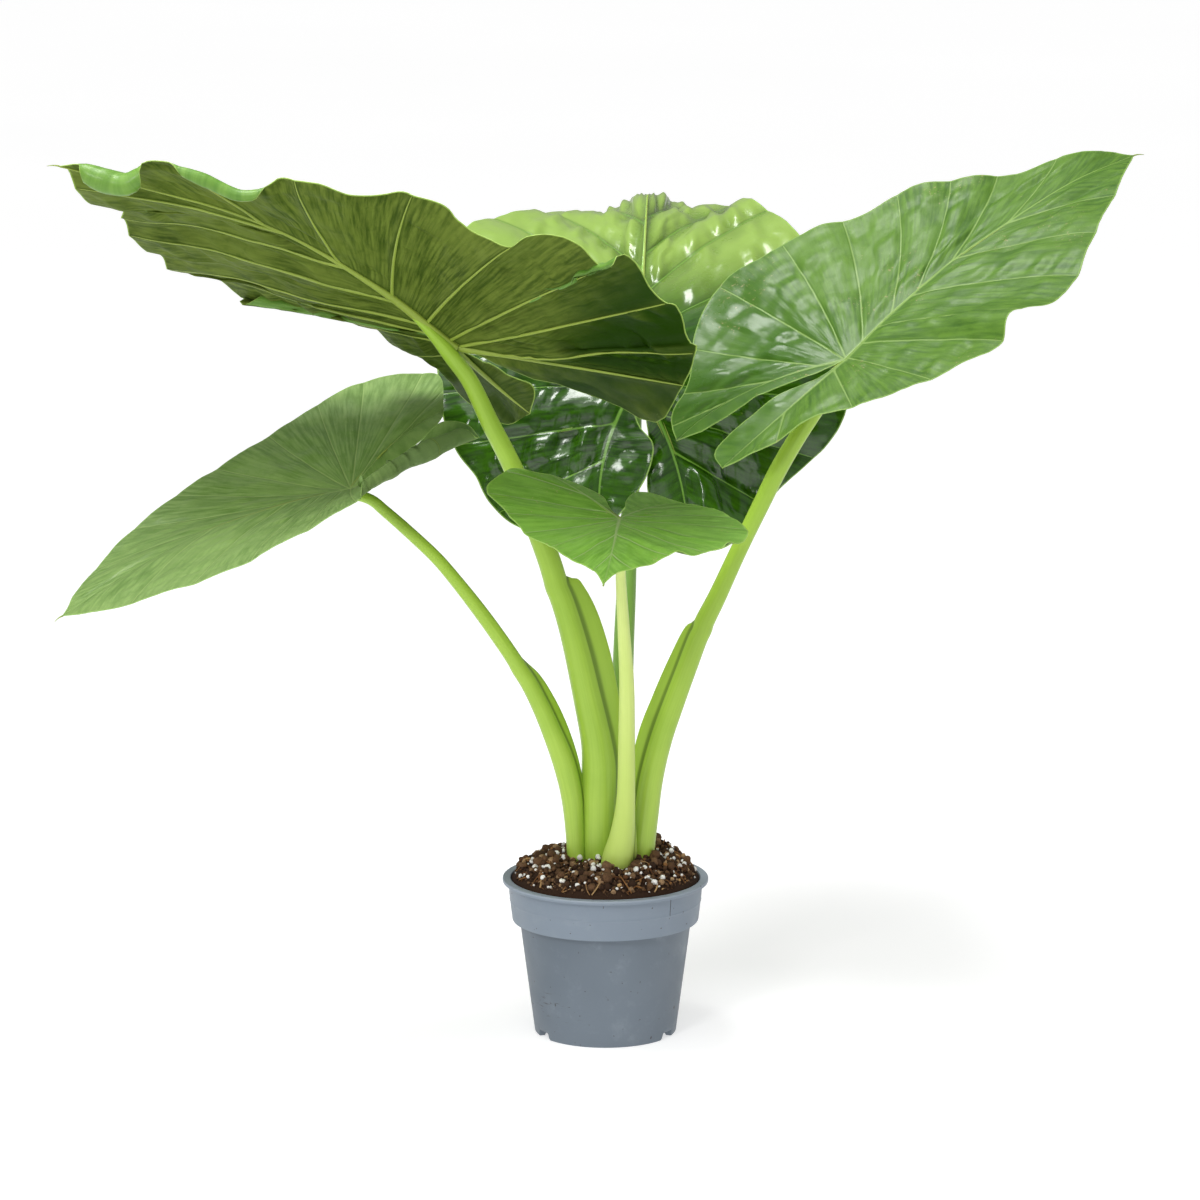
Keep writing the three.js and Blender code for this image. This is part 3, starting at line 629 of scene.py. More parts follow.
def blade_sheet(leaf, looks):
    """The blade's middle surface with its relief, welded, and what its looks need at each point."""
    blocks = []
    veins = []
    across = np.r_[0, 0.008, 0.025, np.linspace(0.05, 0.94, BLADE_ROWS), np.linspace(0.95, 1, 9)]
    start = 0
    for sign, side in ((1, "left"), (-1, "right")):
        half = leaf[side]
        outer, inner, margin = blade_half(leaf, side)
        ends = np.array([0] + [end for end, share in half["veins"]] + [1])
        spine_stop = np.interp(FAN_SHARE, [0] + [share for end, share in half["veins"]] + [1], ends)
        stops = sorted(set(ends) | {float(spine_stop)})
        s = stations(stops, BLADE_COLUMNS)
        points = curl_margin(outer(s, across), s, across, half.get("curls", []))
        relief = outer_relief(looks, s, across, points, ends, looks["seed"] + (sign < 0) * 10)
        lane = np.broadcast_to((s * margin.length)[:, None], points.shape[:2])
        reach = np.linalg.norm(points[:, -1] - points[:, 0], axis=1)[:, None] * across
        blocks.append((points, relief, lane, reach, sign < 0))
        rows = start + np.arange(len(s))[:, None] * len(across) + np.arange(len(across))
        on_rib = s <= spine_stop + 1e-9
        veins.append(("rib", rows[on_rib, 0][::-1]))
        if sign > 0:
            veins.append(("midrib", rows[~on_rib | np.isclose(s, spine_stop), 0]))
        for end in ends[1:-1]:
            row = int(np.argmin(np.abs(s - end)))
            veins.append(("vein", rows[row, :-2]))
        start += points.shape[0] * points.shape[1]

        r = 1 - np.interp(s[on_rib], ends, [0] + [share for end, share in half["veins"]] + [1]) / FAN_SHARE
        r = np.clip(r[::-1], 0, 1)
        t = np.linspace(0, 1, SINUS_ROWS)
        points = inner(r, t)
        width = np.linalg.norm(points[:, -1] - points[:, 0], axis=1)[:, None] * t
        relief = looks["pucker"] * soft_noise(width / 12 + 40, r[:, None] * 14 + 0 * t, looks["seed"] + 5)
        relief = relief * smooth_step(width, 2, 15)
        lane = np.broadcast_to((s[on_rib][::-1] * margin.length)[:, None], points.shape[:2])
        blocks.append((points, relief, lane, -width, sign < 0))
        start += points.shape[0] * points.shape[1]

    raw = np.vstack([block[0].reshape(-1, 3) for block in blocks])
    quads = []
    offset = 0
    for points, relief, lane, reach, flip in blocks:
        quads.append(offset + grid_faces(points.shape[0], points.shape[1], flip))
        offset += points.shape[0] * points.shape[1]
    quads = np.vstack(quads)
    first, welded = weld(raw, 2)
    points = raw[first]
    quads = welded[quads]
    relief = np.concatenate([block[1].ravel() for block in blocks])[first]
    lane = np.concatenate([block[2].ravel() for block in blocks])[first]
    reach = np.concatenate([block[3].ravel() for block in blocks])[first]
    veins = [(kind, welded[np.asarray(row)]) for kind, row in veins]

    spine = np.vstack([points[row] for kind, row in veins if kind != "vein"])
    from_spine = nearest(points, spine)
    along, left = points[:, 0], points[:, 1]
    wave = looks["wave"] * soft_noise(along / WAVE_LENGTH + 9, left / WAVE_LENGTH + 9, looks["seed"] + 7)
    wrinkle = 0.35 * soft_noise(along / 16 + 9, left / 16 + 9, looks["seed"] + 8)
    lift = (relief + wave + wrinkle) * smooth_step(from_spine, 1, 14)
    normals = normals_of(points, quads)
    points = points + normals * lift[:, None]
    return points, quads, lane, reach, veins, lift


def vein_radii(kind, count, leaf):
    share = np.linspace(0, 1, count)
    base = STALKS[leaf["name"]]["path"][0][3]
    if kind == "midrib":
        return base * 0.85 * (1 - share) ** 1.1 + 0.7
    if kind == "rib":
        return base * 0.5 * (1 - share) ** 0.8 + 0.5
    return base * 0.2 * (1 - share) ** 0.8 + 0.3


def under_rib(line, ups, radii, depth):
    """A rounded rib that stands out under the blade along a vein."""
    tangents = np.gradient(line, axis=0)
    side = np.cross(ups, tangents)
    side /= np.maximum(np.linalg.norm(side, axis=1), 1e-9)[:, None]
    angles = np.linspace(0, np.pi, RIB_SIDES)
    out = side[:, None] * np.cos(angles)[None, :, None]
    down = ups[:, None] * np.sin(angles)[None, :, None] * depth
    points = line[:, None] + (out - down) * radii[:, None, None]
    return points.reshape(-1, 3), ring_faces(len(line), RIB_SIDES)


def blade(leaf, looks, materials):
    points, quads, lane, reach, veins, lift = blade_sheet(leaf, looks)
    normals = normals_of(points, quads)
    edges = {}
    for quad in quads.tolist():
        for a, b in zip(quad, quad[1:] + quad[:1]):
            if a != b:
                edges[(a, b)] = True
    border = [(a, b) for a, b in edges if (b, a) not in edges]
    rim_points = points[sorted({a for a, b in border})]
    edge = nearest(points, rim_points)
    sizes = np.concatenate([0.45 * vein_radii(kind, len(row), leaf) + 0.3 for kind, row in veins])
    line = nearest(points, np.vstack([points[row] for kind, row in veins]), sizes)
    thickness = MARGIN_THICKNESS + (BLADE_THICKNESS - MARGIN_THICKNESS) * smooth_step(edge, 0, 15)
    # Tone grows with the relief's lift, so raised ridges take more of the bright colour: a painted sheen on
    # the ridges.
    tone = looks["tone"](points) * np.clip(0.66 + 0.1 * lift, 0.1, 1)

    count = len(points)
    parts = Parts("line", "edge", "lane", "reach", "tone")
    both = np.vstack([points + normals * thickness[:, None] / 2, points - normals * thickness[:, None] / 2])
    top = quads.tolist()
    under = (quads[:, ::-1] + count).tolist()
    walls = [[b, a, a + count, b + count] for a, b in border]
    measures = {"line": line, "edge": edge, "lane": lane, "reach": reach, "tone": tone}
    doubled = {key: np.tile(values, 2) for key, values in measures.items()}
    parts.add(to_model(leaf, both), top, UPPER, **doubled)
    parts.faces.extend(under)
    parts.materials.extend([UNDER] * len(under))
    parts.faces.extend(walls)
    parts.materials.extend([RIM] * len(walls))
    for kind, row in veins:
        radii = vein_radii(kind, len(row), leaf)
        depth = MIDRIB_DEPTH if kind == "midrib" else VEIN_DEPTH
        rib, faces = under_rib(points[row], normals[row], radii, depth)
        parts.add(to_model(leaf, rib), faces, VEIN, tone=np.repeat(tone[row], RIB_SIDES))
    if looks["filament"]:
        tip = points[veins[1][1][-1]]
        share = np.linspace(0, 1, 9)[:, None]
        line_points = tip + np.array(looks["filament"]) * share + np.array([0, 0, -2.5]) * share ** 2
        points_at, faces = tube(line_points, np.linspace(0.7, 0.2, 9), 6)
        parts.add(to_model(leaf, points_at), faces, VEIN)
    piece = parts.build("leaf_" + leaf["name"], materials)
    keep(piece, "leaf", "blade_" + leaf["name"])
    return piece


# Stalks
def stalk(name, leaf, materials):
    """A stalk with its sheath's wing; its head bends into the blade's midrib."""
    path = STALKS[name]["path"]
    head = path[0][3]
    midrib = smooth_curve([(0, 0, 0)] + leaf["midrib"])
    rows = []
    for distance, drop, size in HEAD_BEND:
        place = midrib(distance / midrib.length) - np.array([0, 0, drop * head])
        rows.append([*to_model(leaf, [place])[0], size * head, 0])
    rows.extend(list(row) for row in path)
    rows.append([rows[-1][0], rows[-1][1], STALK_FOOT_Z, rows[-1][3], rows[-1][4]])
    curve = smooth_curve(rows)
    share = np.linspace(0, 1, STALK_RINGS)
    values = curve(share)
    line = values[:, :3]
    radius, sheath = values[:, 3], np.maximum(values[:, 4], 0)
    tangents = np.gradient(line, axis=0)
    tangents /= np.linalg.norm(tangents, axis=1)[:, None]
    toward = np.array([*STALKS[name]["toward"], 0]) / np.linalg.norm(STALKS[name]["toward"])
    axis = toward - tangents * (tangents @ toward)[:, None]
    axis /= np.linalg.norm(axis, axis=1)[:, None]
    side = np.cross(tangents, axis)
    spread = np.linspace(-1, 1, STALK_SIDES, endpoint=False)
    angles = np.pi * np.sign(spread) * np.abs(spread) ** 1.25
    bulge = np.maximum(np.cos(angles), 0) ** WING_POWER
    reach = share * curve.length
    furrow = 1 + 0.006 * np.sin(angles * 22)[None] + 0.012 * soft_noise(
        reach[:, None] / 30, 6 + 4 * np.cos(angles)[None], 31)
    x = radius[:, None] * np.cos(angles) * furrow + sheath[:, None] * bulge
    y = radius[:, None] * np.sin(angles) * furrow
    points = line[:, None] + axis[:, None] * x[..., None] + side[:, None] * y[..., None]
    count = STALK_RINGS * STALK_SIDES
    measures = {
        "lane": np.broadcast_to(angles * 9, (STALK_RINGS, STALK_SIDES)).reshape(count),
        "reach": np.repeat(reach, STALK_SIDES),
        "wing": (bulge[None] * np.clip(sheath[:, None] / 8, 0, 1)).reshape(count),
    }
    piece = make_object(
        "petiole_" + name, points.reshape(-1, 3), ring_faces(STALK_RINGS, STALK_SIDES), materials,
        measures=measures)
    keep(piece, "pale_stalk" if name == "front" else "stalk", "stalk_" + name)
    return piece


# Pot
def pot_profile():
    """Rounded outline of the pot's wall, from the middle of its underside round to its floor."""
    lip_low = POT_HEIGHT - LIP_HEIGHT
    inner = STEP_INNER_RADIUS - WALL
    corners = [
        (0, 0, 0), (HUB_RADIUS, 0, 0.4), (HUB_RADIUS + 1, FLOOR_LOW, 0.4),
        (BASE_RADIUS - FOOT_WIDTH - 1, FLOOR_LOW, 0.4), (BASE_RADIUS - FOOT_WIDTH, 0, 0.5),
        (BASE_RADIUS, 0, 1.2), (STEP_INNER_RADIUS, STEP_HEIGHT, 0.8), (COLLAR_LOW_RADIUS, STEP_HEIGHT, 0.9),
        (RIDGE_RADIUS, RIDGE_Z - 1.2, 0.5), (RIDGE_RADIUS + 0.5, RIDGE_Z, 0.4),
        (RIDGE_RADIUS + 0.35, RIDGE_Z + 1.2, 0.5), (COLLAR_TOP_RADIUS, lip_low, 0.8),
        (RIM_RADIUS, lip_low, 1.0), (RIM_RADIUS, POT_HEIGHT, 1.1),
        (COLLAR_TOP_RADIUS - WALL, POT_HEIGHT, 0.8), (COLLAR_LOW_RADIUS - WALL, STEP_HEIGHT + WALL, 0.8),
        (inner, STEP_HEIGHT + WALL, 0.8), (BASE_RADIUS - WALL, FLOOR_HIGH, 1.5), (0, FLOOR_HIGH, 0),
    ]
    outline = [np.array(corners[0][:2], float)]
    for before, here, after in zip(corners, corners[1:], corners[2:]):
        corner, fillet = np.array(here[:2], float), here[2]
        back = np.array(before[:2]) - corner
        ahead = np.array(after[:2]) - corner
        back = corner + back / np.linalg.norm(back) * fillet
        ahead = corner + ahead / np.linalg.norm(ahead) * fillet
        outline.extend(quadratic(back, corner, ahead, np.linspace(0, 1, 5)))
    outline.append(np.array(corners[-1][:2], float))
    fine = [outline[0]]
    for a, b in zip(outline, outline[1:]):
        steps = max(1, math.ceil(np.linalg.norm(b - a) / PROFILE_STEP))
        fine.extend(a + (b - a) * k / steps for k in range(1, steps + 1))
    return np.array(fine)


def pot(material):
    profile = pot_profile()
    angles = np.linspace(0, 2 * np.pi, POT_SIDES, endpoint=False)
    points = []
    for angle in angles:
        off = min(abs((math.degrees(angle) - notch + 180) % 360 - 180) for notch in NOTCH_ANGLES)
        half = NOTCH_WIDTH / 2 / BASE_RADIUS
        lift = NOTCH_HEIGHT * (1 - smooth_step(math.radians(off), half - 0.012, half + 0.012))
        z = profile[:, 1].copy()
        foot = (profile[:, 0] > HUB_RADIUS + 5) & (z < NOTCH_HEIGHT) & (np.arange(len(z)) < len(z) // 2)
        z[foot] = np.maximum(z[foot], min(lift, NOTCH_HEIGHT))
        ring = np.stack([profile[:, 0] * math.cos(angle), profile[:, 0] * math.sin(angle), z], 1)
        points.append(ring)
    rows = len(profile)
    points = np.vstack(points)
    faces = []
    for k in range(POT_SIDES):
        for i in range(rows - 1):
            a, b = k * rows + i, (k + 1) % POT_SIDES * rows + i
            faces.append([a, b, b + 1, a + 1])
    first, welded = weld(points, 3)
    piece = make_object("nursery_pot", points[first], [welded[face] for face in faces], [material])
    keep(piece, "pot", "pot")
    return piece


# Soil
def soil_height(x, y):
    share = np.clip(np.hypot(x, y) / SOIL_RADIUS, 0, 1)
    mound = SOIL_EDGE_Z + SOIL_MOUND * (1 - share ** 5)
    lumps = 3.0 * soft_noise(x / 15 + 20, y / 15 + 20, 41) + 1.9 * soft_noise(x / 6 + 20, y / 6 + 20, 42)
    clump = 7 * np.exp(-((x - 43) ** 2 + (y - 20) ** 2) / 260)
    return mound + lumps * (1 - share ** 6) + clump - 1.5


def soil_bed(material):
    rings = np.linspace(0, 1, SOIL_RINGS) ** 0.9
    angles = np.linspace(0, 2 * np.pi, SOIL_SIDES, endpoint=False)
    x = SOIL_RADIUS * rings[:, None] * np.cos(angles)
    y = SOIL_RADIUS * rings[:, None] * np.sin(angles)
    z = soil_height(x, y) + 0.5 * soft_noise(x / 2 + 50, y / 2 + 50, 43)
    top = np.stack([x, y, z], -1)[1:].reshape(-1, 3)
    rows = SOIL_RINGS - 1
    scale = np.array([(BASE_RADIUS - WALL - 1) / SOIL_RADIUS] * 2)
    foot = np.column_stack([top[-SOIL_SIDES:, :2] * scale, np.full(SOIL_SIDES, SOIL_BOTTOM_Z)])
    shoulder = np.column_stack([top[-SOIL_SIDES:, :2] * 0.885, np.full(SOIL_SIDES, STEP_HEIGHT + 2)])
    points = np.vstack([top, shoulder, foot, [[0, 0, float(soil_height(0, 0))], [0, 0, SOIL_BOTTOM_Z]]])
    faces = []
    for i in range(rows + 1):
        for k in range(SOIL_SIDES):
            a, b = i * SOIL_SIDES + k, i * SOIL_SIDES + (k + 1) % SOIL_SIDES
            faces.append([a, a + SOIL_SIDES, b + SOIL_SIDES, b])
    centre, low = len(points) - 2, len(points) - 1
    for k in range(SOIL_SIDES):
        following = (k + 1) % SOIL_SIDES
        faces.append([centre, k, following])
        last = (rows + 1) * SOIL_SIDES
        faces.append([low, last + following, last + k])
    piece = make_object("soil_bed", points, faces, [material])
    keep(piece, "soil", "soil")
    return piece


def pebble_shapes(count, subdivisions, rough, seed):
    """Lumpy little closed shapes of unit size, to copy as crumbs and grains."""
    random = np.random.default_rng(seed)
    work = bmesh.new()
    bmesh.ops.create_icosphere(work, subdivisions=subdivisions, radius=1)
    points = np.array([v.co for v in work.verts])
    faces = [[v.index for v in face.verts] for face in work.faces]
    work.free()
    shapes = []
    for _ in range(count):
        stretch = random.uniform(0.55, 1.0, 3)
        shapes.append((points * random.uniform(1 - rough, 1, (len(points), 1)) * stretch, faces))
    return shapes


def turned(points, random):
    """points turned at random about each axis."""
    for first, second in ((0, 1), (1, 2), (0, 2)):
        angle = random.uniform(0, 2 * np.pi)
        a, b = points[:, first].copy(), points[:, second].copy()
        points = points.copy()
        points[:, first] = a * math.cos(angle) - b * math.sin(angle)
        points[:, second] = a * math.sin(angle) + b * math.cos(angle)
    return points


def soil_spot(random, edge=1.0):
    """A random place on the soil, clear of the stalks' feet."""
    while True:
        radius = SOIL_RADIUS * edge * math.sqrt(random.uniform(0, 1))
        angle = random.uniform(0, 2 * np.pi)
        x, y = radius * math.cos(angle), radius * math.sin(angle)
        clear = True
        for stalk_data in STALKS.values():
            foot_x, foot_y, _, foot_radius, _ = stalk_data["path"][-1]
            clear = clear and math.hypot(x - foot_x, y - foot_y) > foot_radius + 1
        if clear:
            return x, y


def scatter(name, slot, material, shapes, count, sizes, sunk, seed, edge=0.985):
    random = np.random.default_rng(seed)
    parts = Parts("shade")
    for k in range(count):
        points, faces = shapes[k % len(shapes)]
        size = float(np.clip(random.lognormal(math.log(sizes[0]), sizes[1]), sizes[0] * 0.4, sizes[2]))
        x, y = soil_spot(random, edge - size / SOIL_RADIUS)
        z = float(soil_height(np.float64(x), np.float64(y))) + size * (random.uniform(0.2, 0.8) - sunk)
        parts.add(turned(points, random) * size + [x, y, z], faces, 0, shade=random.uniform(0, 1))
    piece = parts.build(name, [material])
    keep(piece, slot)
    return piece


def fibres(material):
    """Thin bent roots and husk fibres that lie on the soil."""
    random = np.random.default_rng(77)
    parts = Parts("shade")
    for _ in range(FIBRES):
        x, y = soil_spot(random, 0.93)
        length = random.uniform(5, 20)
        heading = random.uniform(0, 2 * np.pi)
        curl = random.uniform(-1.2, 1.2)
        share = np.linspace(-0.5, 0.5, 7)
        angle = heading + curl * share
        line_x = x + np.cumsum(np.cos(angle)) * length / 7
        line_y = y + np.cumsum(np.sin(angle)) * length / 7
        far = np.hypot(line_x, line_y).max() / (SOIL_RADIUS * 0.97)
        if far > 1:
            line_x, line_y = line_x / far, line_y / far
        line_z = soil_height(line_x, line_y) + 1.0 + random.uniform(0, 2.4) * (1 - (2 * share) ** 2)
        points, faces = tube(np.stack([line_x, line_y, line_z], 1), random.uniform(0.25, 0.75), 5)
        parts.add(points, faces, 0, shade=random.uniform(0, 1))
    loose_root = smooth_curve([
        (-73, 8, 139), (-66, 4, 146), (-60, -2, 144), (-55, -4, 150), (-49, -6, 149), (-43, -8, 153),
        (-36, -10, 151)])(np.linspace(0, 1, 26))
    loose_root[:, 2] = np.maximum(loose_root[:, 2], soil_height(loose_root[:, 0], loose_root[:, 1]) + 0.8)
    points, faces = tube(loose_root, np.linspace(1.0, 0.45, 26), 7)
    parts.add(points, faces, 0, shade=0.15)
    piece = parts.build("husk_fibres", [material])
    keep(piece, "soil")
    return piece


# Materials
def linear(red, green, blue):
    """A screen colour out of 255 as the linear colour that a shader takes."""
    shares = [value / 255 for value in (red, green, blue)]
    return tuple(v / 12.92 if v <= 0.04045 else ((v + 0.055) / 1.055) ** 2.4 for v in shares) + (1,)


SPECK_TAN = linear(168, 158, 108)
PAINTED_CREASE_SHADE = linear(84, 112, 30)
SOIL_STAIN = linear(92, 66, 40)
SEAM_SHADE = linear(40, 44, 52)
SCUFF = linear(66, 62, 64)
SUNLIT_GREEN = linear(110, 160, 30)
VEIN_STAIN = linear(110, 134, 44)


class Shader:
    """A material's nodes, with a short call for each kind that the looks use."""

    def __init__(self, name):
        self.material = bpy.data.materials.new(name)
        self.material.use_nodes = True
        self.tree = self.material.node_tree
        self.tree.nodes.clear()
        self.output = self.tree.nodes.new("ShaderNodeOutputMaterial")
        self.place = self.tree.nodes.new("ShaderNodeTexCoord").outputs["Object"]

    def node(self, kind, inputs=None, **settings):
        made = self.tree.nodes.new("ShaderNode" + kind)
        for key, value in settings.items():
            setattr(made, key, value)
        for key, value in (inputs or {}).items():
            if isinstance(value, bpy.types.NodeSocket):
                self.tree.links.new(value, made.inputs[key])
            else:
                made.inputs[key].default_value = value
        return made

    def number(self, name):
        return self.node("Attribute", attribute_name=name).outputs["Fac"]

    def math(self, operation, a, b=0.0):
        return self.node("Math", {0: a, 1: b}, operation=operation).outputs[0]

    def times(self, a, b):
        return self.math("MULTIPLY", a, b)

    def span(self, value, low, high, to_low=0.0, to_high=1.0):
        """value taken from low..high to a smooth to_low..to_high."""
        inputs = {"Value": value, "From Min": low, "From Max": high, "To Min": to_low, "To Max": to_high}
        return self.node("MapRange", inputs, interpolation_type="SMOOTHSTEP").outputs["Result"]

    def noise(self, scale, detail=3.0, roughness=0.55, vector=None):
        inputs = {"Vector": vector or self.place, "Scale": scale, "Detail": detail, "Roughness": roughness}
        return self.node("TexNoise", inputs).outputs["Fac"]

    def joined(self, x, y, z=0.0):
        return self.node("CombineXYZ", {"X": x, "Y": y, "Z": z}).outputs["Vector"]

    def mix(self, share, a, b, mode="MIX"):
        made = self.node("Mix", data_type="RGBA", blend_type=mode)
        for index, value in ((0, share), (6, a), (7, b)):
            if isinstance(value, bpy.types.NodeSocket):
                self.tree.links.new(value, made.inputs[index])
            else:
                made.inputs[index].default_value = value
        return made.outputs[2]

    def bump(self, height, strength, distance, normal=None):
        inputs = {"Height": height, "Strength": strength, "Distance": distance}
        if normal is not None:
            inputs["Normal"] = normal
        return self.node("Bump", inputs).outputs["Normal"]

    def finish(self, colour, roughness, normal, through=None, share=0.0, **sockets):
        """Principled surface, with a share of light through it where a colour for that is given."""
        inputs = {"Base Color": colour, "Roughness": roughness, "Normal": normal}
        inputs.update({key.replace("_", " ").title().replace("Ior", "IOR"): value
                       for key, value in sockets.items()})
        surface = self.node("BsdfPrincipled", inputs).outputs["BSDF"]
        if through is not None:
            behind = self.node("BsdfTranslucent", {"Color": through, "Normal": normal}).outputs["BSDF"]
            surface = self.node("MixShader", {"Fac": share, 1: surface, 2: behind}).outputs[0]
        self.tree.links.new(surface, self.output.inputs["Surface"])
        return self.material


def leaf_skin(name, dark, light, bright, vein, rim, finish, vein_strength=1.0):
    """A blade's face: streaks along the veins, mottling, painted light and shade where tone is high, painted
    shade beside the veins, pale veins and a pale margin.
    """
    skin = Shader(name)
    lane = skin.number("lane")
    reach = skin.number("reach")
    drawn_out = skin.joined(skin.times(lane, 0.22), skin.times(reach, 0.03))
    streaks = skin.noise(1, 4, 0.6, drawn_out)
    patches = skin.noise(13, 3)
    mottle = skin.noise(90, 4, 0.65)
    tone = skin.number("tone")
    colour = skin.mix(skin.span(streaks, 0.3, 0.7), dark, light)
    colour = skin.mix(skin.span(patches, 0.42, 0.68, 0, 0.6), colour, light)
    colour = skin.mix(skin.span(mottle, 0.5, 0.75, 0, 0.45), colour, dark)
    # Painted light where tone is high, such as the glow through the back leaf's crest.
    colour = skin.mix(tone, colour, bright)
    line = skin.number("line")
    # Painted shade: the blade darkens beside its veins, as though they cast shadow.
    colour = skin.mix(skin.span(line, 4.5, 1.4, 0, finish["shade"]), colour, dark)
    on_vein = skin.span(line, 1.35, 0.45, 0, vein_strength)
    colour = skin.mix(on_vein, colour, vein)
    edge = skin.number("edge")
    colour = skin.mix(skin.span(edge, 1.5, 0.5, 0, 0.85), colour, rim)
    cells = skin.noise(420, 3, 0.6)
    height = skin.math("ADD", skin.times(streaks, 0.5), skin.times(mottle, 0.6))
    normal = skin.bump(height, finish["bump"], 0.0012)
    normal = skin.bump(cells, finish["grain"], 0.0002, normal)
    normal = skin.bump(skin.span(line, 0.4, 2.6), finish["groove"], 0.0006, normal)
    if finish["specks"]:
        spots = skin.span(skin.noise(420, 2), 0.64, 0.68)
        spots = skin.times(spots, skin.span(skin.noise(17, 2), 0.5, 0.6))
        colour = skin.mix(skin.times(spots, finish["specks"]), colour, SPECK_TAN)
    roughness = skin.span(mottle, 0.3, 0.7, finish["rough"] - 0.05, finish["rough"] + 0.06)
    change = skin.times(tone, finish["tone_rough"] - finish["rough"])
    roughness = skin.math("ADD", roughness, change)
    return skin.finish(
        colour, roughness, normal, through=finish["through"], share=finish["share"],
        coat_weight=finish["coat"], coat_roughness=finish["coat_rough"], ior=1.45,
        specular_ior_level=finish["shine"])


def plain_flesh(name, low, high, stain, rough):
    """Smooth stalk or vein flesh: pale at the foot, greener above, with fine lengthwise streaks, and painted
    shade in the crease where a sheath's wing leaves the stalk.
    """
    flesh = Shader(name)
    lane = flesh.number("lane")
    reach = flesh.number("reach")
    drawn_out = flesh.joined(flesh.times(lane, 0.9), flesh.times(reach, 0.012))
    streaks = flesh.noise(1, 4, 0.6, drawn_out)
    height_at = flesh.node("SeparateXYZ", {0: flesh.place}).outputs["Z"]
    colour = flesh.mix(flesh.span(height_at, 0.13, 0.42), low, high)
    colour = flesh.mix(flesh.span(streaks, 0.35, 0.75, 0, 0.3), colour, stain)
    clouds = flesh.noise(22, 3)
    colour = flesh.mix(flesh.span(clouds, 0.45, 0.75, 0, 0.25), colour, stain)
    wing = flesh.number("wing")
    colour = flesh.mix(flesh.span(wing, 0.1, 0.9, 0, 0.5), colour, high)
    # Painted shade: a dark olive line in the crease where the sheath's wing leaves the stalk.
    crease_painted_shade = flesh.times(flesh.span(wing, 0.004, 0.03), flesh.span(wing, 0.3, 0.1, 0, 0.75))
    colour = flesh.mix(crease_painted_shade, colour, PAINTED_CREASE_SHADE)
    soiled = flesh.span(height_at, 0.152, 0.138)
    soiled = flesh.times(soiled, flesh.span(flesh.noise(160, 5), 0.5, 0.62))
    colour = flesh.mix(soiled, colour, SOIL_STAIN)
    normal = flesh.bump(streaks, 0.25, 0.0008)
    return flesh.finish(colour, rough, normal, coat_weight=0.15, coat_roughness=0.25, ior=1.42)


def pot_plastic():
    plastic = Shader("pot_plastic")
    coarse = plastic.noise(6, 3)
    fine = plastic.noise(700, 3, 0.7)
    colour = plastic.mix(plastic.span(coarse, 0.3, 0.7), linear(96, 107, 118), linear(110, 121, 132))
    place = plastic.node("SeparateXYZ", {0: plastic.place}).outputs
    side, depth, height = place["X"], place["Y"], place["Z"]
    # Painted light: the collar above the step is lighter, as though lit more from above.
    collar_painted_light = plastic.span(height, 0.094, 0.096)
    colour = plastic.mix(collar_painted_light, colour, linear(124, 136, 149))
    dust = plastic.times(plastic.span(plastic.noise(45, 6, 0.7), 0.5, 0.8), 0.3)
    colour = plastic.mix(dust, colour, linear(150, 160, 168))
    # A pale band along the lip's top edge: a painted highlight, with some pale dust.
    colour = plastic.mix(plastic.span(height, 0.1285, 0.1298, 0, 0.6), colour, linear(158, 168, 180))
    off_seam = plastic.math("ADD", plastic.times(side, SEAM[0]), plastic.times(depth, SEAM[1]))
    seam = plastic.span(plastic.math("ABSOLUTE", off_seam), 0.0005, 0.0002)
    for value, none, full in ((height, 0.111, 0.113), (depth, -0.02, -0.03), (height, 0.1275, 0.127)):
        seam = plastic.times(seam, plastic.span(value, none, full))
    colour = plastic.mix(seam, colour, SEAM_SHADE)
    specks = plastic.span(plastic.noise(260, 2, 0.5), 0.71, 0.76, 0, 0.8)
    colour = plastic.mix(specks, colour, linear(60, 52, 48))
    stretched = plastic.node("Mapping", {"Vector": plastic.place, "Scale": (60, 60, 420)}).outputs[0]
    scuffs = plastic.span(plastic.noise(1, 4, 0.7, stretched), 0.6, 0.68)
    for value, none, full in ((height, 0.016, 0.024), (height, 0.048, 0.036), (side, -0.012, -0.028)):
        scuffs = plastic.times(scuffs, plastic.span(value, none, full))
    colour = plastic.mix(scuffs, colour, SCUFF)
    normal = plastic.bump(fine, 0.12, 0.0002)
    normal = plastic.bump(coarse, 0.2, 0.002, normal)
    roughness = plastic.span(plastic.noise(30, 4), 0.3, 0.7, 0.42, 0.56)
    return plastic.finish(colour, roughness, normal, ior=1.48)


def crumb_skin(name, dark, middle, light, rough=0.95):
    crumb = Shader(name)
    shade = crumb.number("shade")
    fine = crumb.noise(900, 4, 0.7)
    colour = crumb.mix(crumb.span(shade, 0.1, 0.75), dark, middle)
    colour = crumb.mix(crumb.span(shade, 0.8, 1.0), colour, light)
    colour = crumb.mix(crumb.span(fine, 0.45, 0.7, 0, 0.6), colour, dark)
    normal = crumb.bump(fine, 0.6, 0.0008)
    return crumb.finish(colour, rough, normal, specular_ior_level=0.25)


# Stage
def area_light(name, place, target, size, power):
    light = bpy.data.lights.new(name, "AREA")
    light.shape = "RECTANGLE"
    light.size, light.size_y = size
    light.energy = power
    lamp = bpy.data.objects.new(name, light)
    lamp.location = place
    direction = Vector(target) - Vector(place)
    lamp.rotation_euler = direction.to_track_quat("-Z", "Y").to_euler()
    bpy.context.scene.collection.objects.link(lamp)


